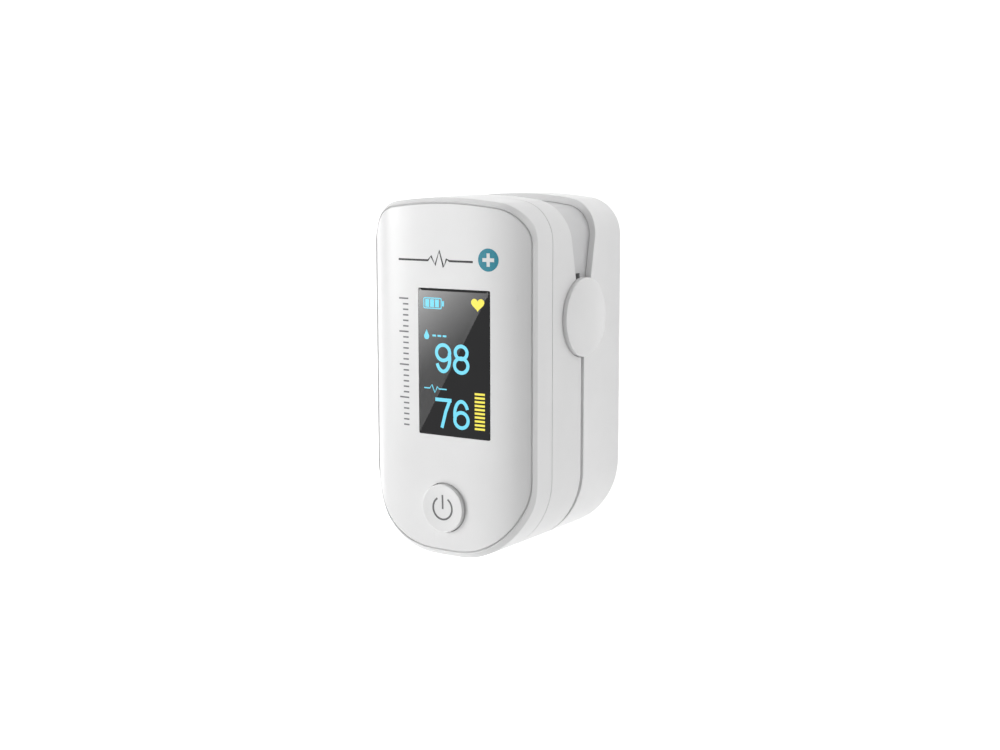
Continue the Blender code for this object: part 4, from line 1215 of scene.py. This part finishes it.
def floor_paper():
    """A pale surface that also glows, faintly uneven."""
    surface = Surface("floor_white", Emission_Strength=0.586, Roughness=0.7)
    for socket, size, grey, darker in (("Emission Color", 300, 1.0, 0.99),
                                       ("Base Color", 200, 0.9, 0.985)):
        tones = [(0.3, (grey * darker,) * 3), (0.7, (grey,) * 3)]
        surface.feed(surface.colours(surface.noise(size), tones), socket)
    return surface.material


def make_floor():
    half = 4.0
    floor = to_object("floor", prism(rectangle((-half, -half), (half, half)), "Z",
                                     -5 * MM, -0.02 * MM))
    floor.data.materials.append(floor_paper())


def area_light(name, centre, direction, power):
    data = bpy.data.lights.new(name, "AREA")
    data.shape = "RECTANGLE"
    data.size = data.size_y = 0.28
    data.energy = power
    light = linked(name, data)
    towards = Vector(direction).normalized()
    light.location = centre + towards * 0.6
    light.rotation_euler = (-towards).to_track_quat("-Z", "Y").to_euler()


def make_lights():
    centre = Vector((0, 0, DEPTH / 2))
    area_light("key_softbox", centre, (-0.74, 0.16, 0.62), 1.6)
    area_light("fill_softbox", centre, (-0.5, -0.6, 0.6), 1.07)


def make_sheen_card(eye):
    """Graded card whose mirror image lies across the upper left half of the window."""
    height = 0.30
    margin = 1.0 * MM
    columns, rows = 24, 12

    def mirrored(x, y):
        """Where a ray from the eye goes that the window reflects at x, y."""
        point = Vector((x, y, window_height(x, y)))
        run = 0.01 * MM
        slope = (face_height(x + run) - face_height(x - run)) / (2 * run)
        normal = Vector((-slope, 0, 1)).normalized()
        ray = (point - eye).reflect(normal)
        return point + ray * ((height - point.z) / ray.z)

    def glow(x, y):
        """Radiance that fades from the window's top left corner."""
        across = (x - WINDOW_LOW.x) / (WINDOW_HIGH.x - WINDOW_LOW.x)
        down = (WINDOW_HIGH.y - y) / (WINDOW_HIGH.y - WINDOW_LOW.y)
        grey = max(0.25, 0.70 - 0.33 * across - 0.70 * down)
        return (grey ** 2.2 - 0.012) / 0.045

    left, right = WINDOW_LOW.x - margin, WINDOW_HIGH.x + margin
    top = WINDOW_HIGH.y + margin
    slant = (WINDOW_HIGH.y - WINDOW_LOW.y) / (WINDOW_HIGH.x - WINDOW_LOW.x)
    shape = bmesh.new()
    layer = shape.verts.layers.float_color.new("glow")
    grid = []
    for x in steps(left, right, columns):
        diagonal = WINDOW_HIGH.y + slant * (x - WINDOW_HIGH.x)
        column = []
        for y in steps(diagonal, max(top, diagonal + margin), rows):
            vert = shape.verts.new(mirrored(x, y))
            value = max(0.0, glow(x, y))
            vert[layer] = (value, value, value, 1.0)
            column.append(vert)
        grid.append(column)
    for first, second in zip(grid, grid[1:]):
        for row in range(rows):
            shape.faces.new((first[row], second[row], second[row + 1], first[row + 1]))
    card = to_object("sheen_card", shape)
    surface = Surface("sheen_card", Roughness=0.8, Emission_Strength=1.0)
    attribute = surface.nodes.new("ShaderNodeAttribute")
    attribute.attribute_name = "glow"
    surface.feed(attribute.outputs["Color"], "Emission Color")
    card.data.materials.append(surface.material)
    card.visible_shadow = False
    card.visible_diffuse = False


def make_world():
    """Soft overhead light above a dim band and a pale horizon."""
    world = bpy.data.worlds.new("studio")
    world.use_nodes = True
    nodes, links = world.node_tree.nodes, world.node_tree.links
    split = nodes.new("ShaderNodeSeparateXYZ")
    links.new(nodes.new("ShaderNodeTexCoord").outputs["Generated"], split.inputs["Vector"])
    ramp = nodes.new("ShaderNodeValToRGB")
    levels = [(0.0, 0.9), (0.06, 0.9), (0.16, 0.0), (0.30, 0.0), (0.55, 0.557)]
    fill_ramp(ramp.color_ramp, [(position, (level,) * 3) for position, level in levels])
    links.new(split.outputs["Z"], ramp.inputs["Fac"])
    links.new(ramp.outputs["Color"], nodes["Background"].inputs["Color"])
    bpy.context.scene.world = world


def make_camera():
    data = bpy.data.cameras.new("camera")
    data.sensor_width = 36
    data.lens = 54.18
    data.clip_start = 0.01
    camera = linked("camera", data)
    right = Vector((0.840723, -0.001314, -0.541464))
    up = Vector((-0.074841, 0.990117, -0.118608))
    back = right.cross(up)
    turn = Matrix((right, up, back)).transposed().to_4x4()
    camera.matrix_world = Matrix.Translation((0.13690, 0.03413, 0.22720)) @ turn
    bpy.context.scene.camera = camera
    return camera


def build():
    dress_cad_nodes()
    make_face_panel()
    make_display()
    make_face_print()
    make_bezel_ring()
    make_middle_ring()
    make_button()
    make_front_pad()
    make_back_shell()
    make_screws()
    make_inner_frame()
    make_rear_pad()
    make_door()
    make_cell("cell_left", "battery_left", 1)
    make_cell("cell_right", "battery_right", -1)
    make_battery_spring("contact_spring_1", "battery_spring_1", 1)
    make_battery_spring("contact_spring_2", "battery_spring_2", -1)
    for side, word in ((-1, "left"), (1, "right")):
        make_hinge_disc(side, f"hinge_disc_{word}", f"hinge_cap_{word}")
        make_hinge_spring(side, f"squeeze_spring_{word}", f"hinge_spring_{word}")
    make_hinge_flex()
    make_floor()
    make_lights()
    make_world()
    camera = make_camera()
    make_sheen_card(camera.location)
    bpy.context.scene.view_settings.view_transform = "Standard"


build()
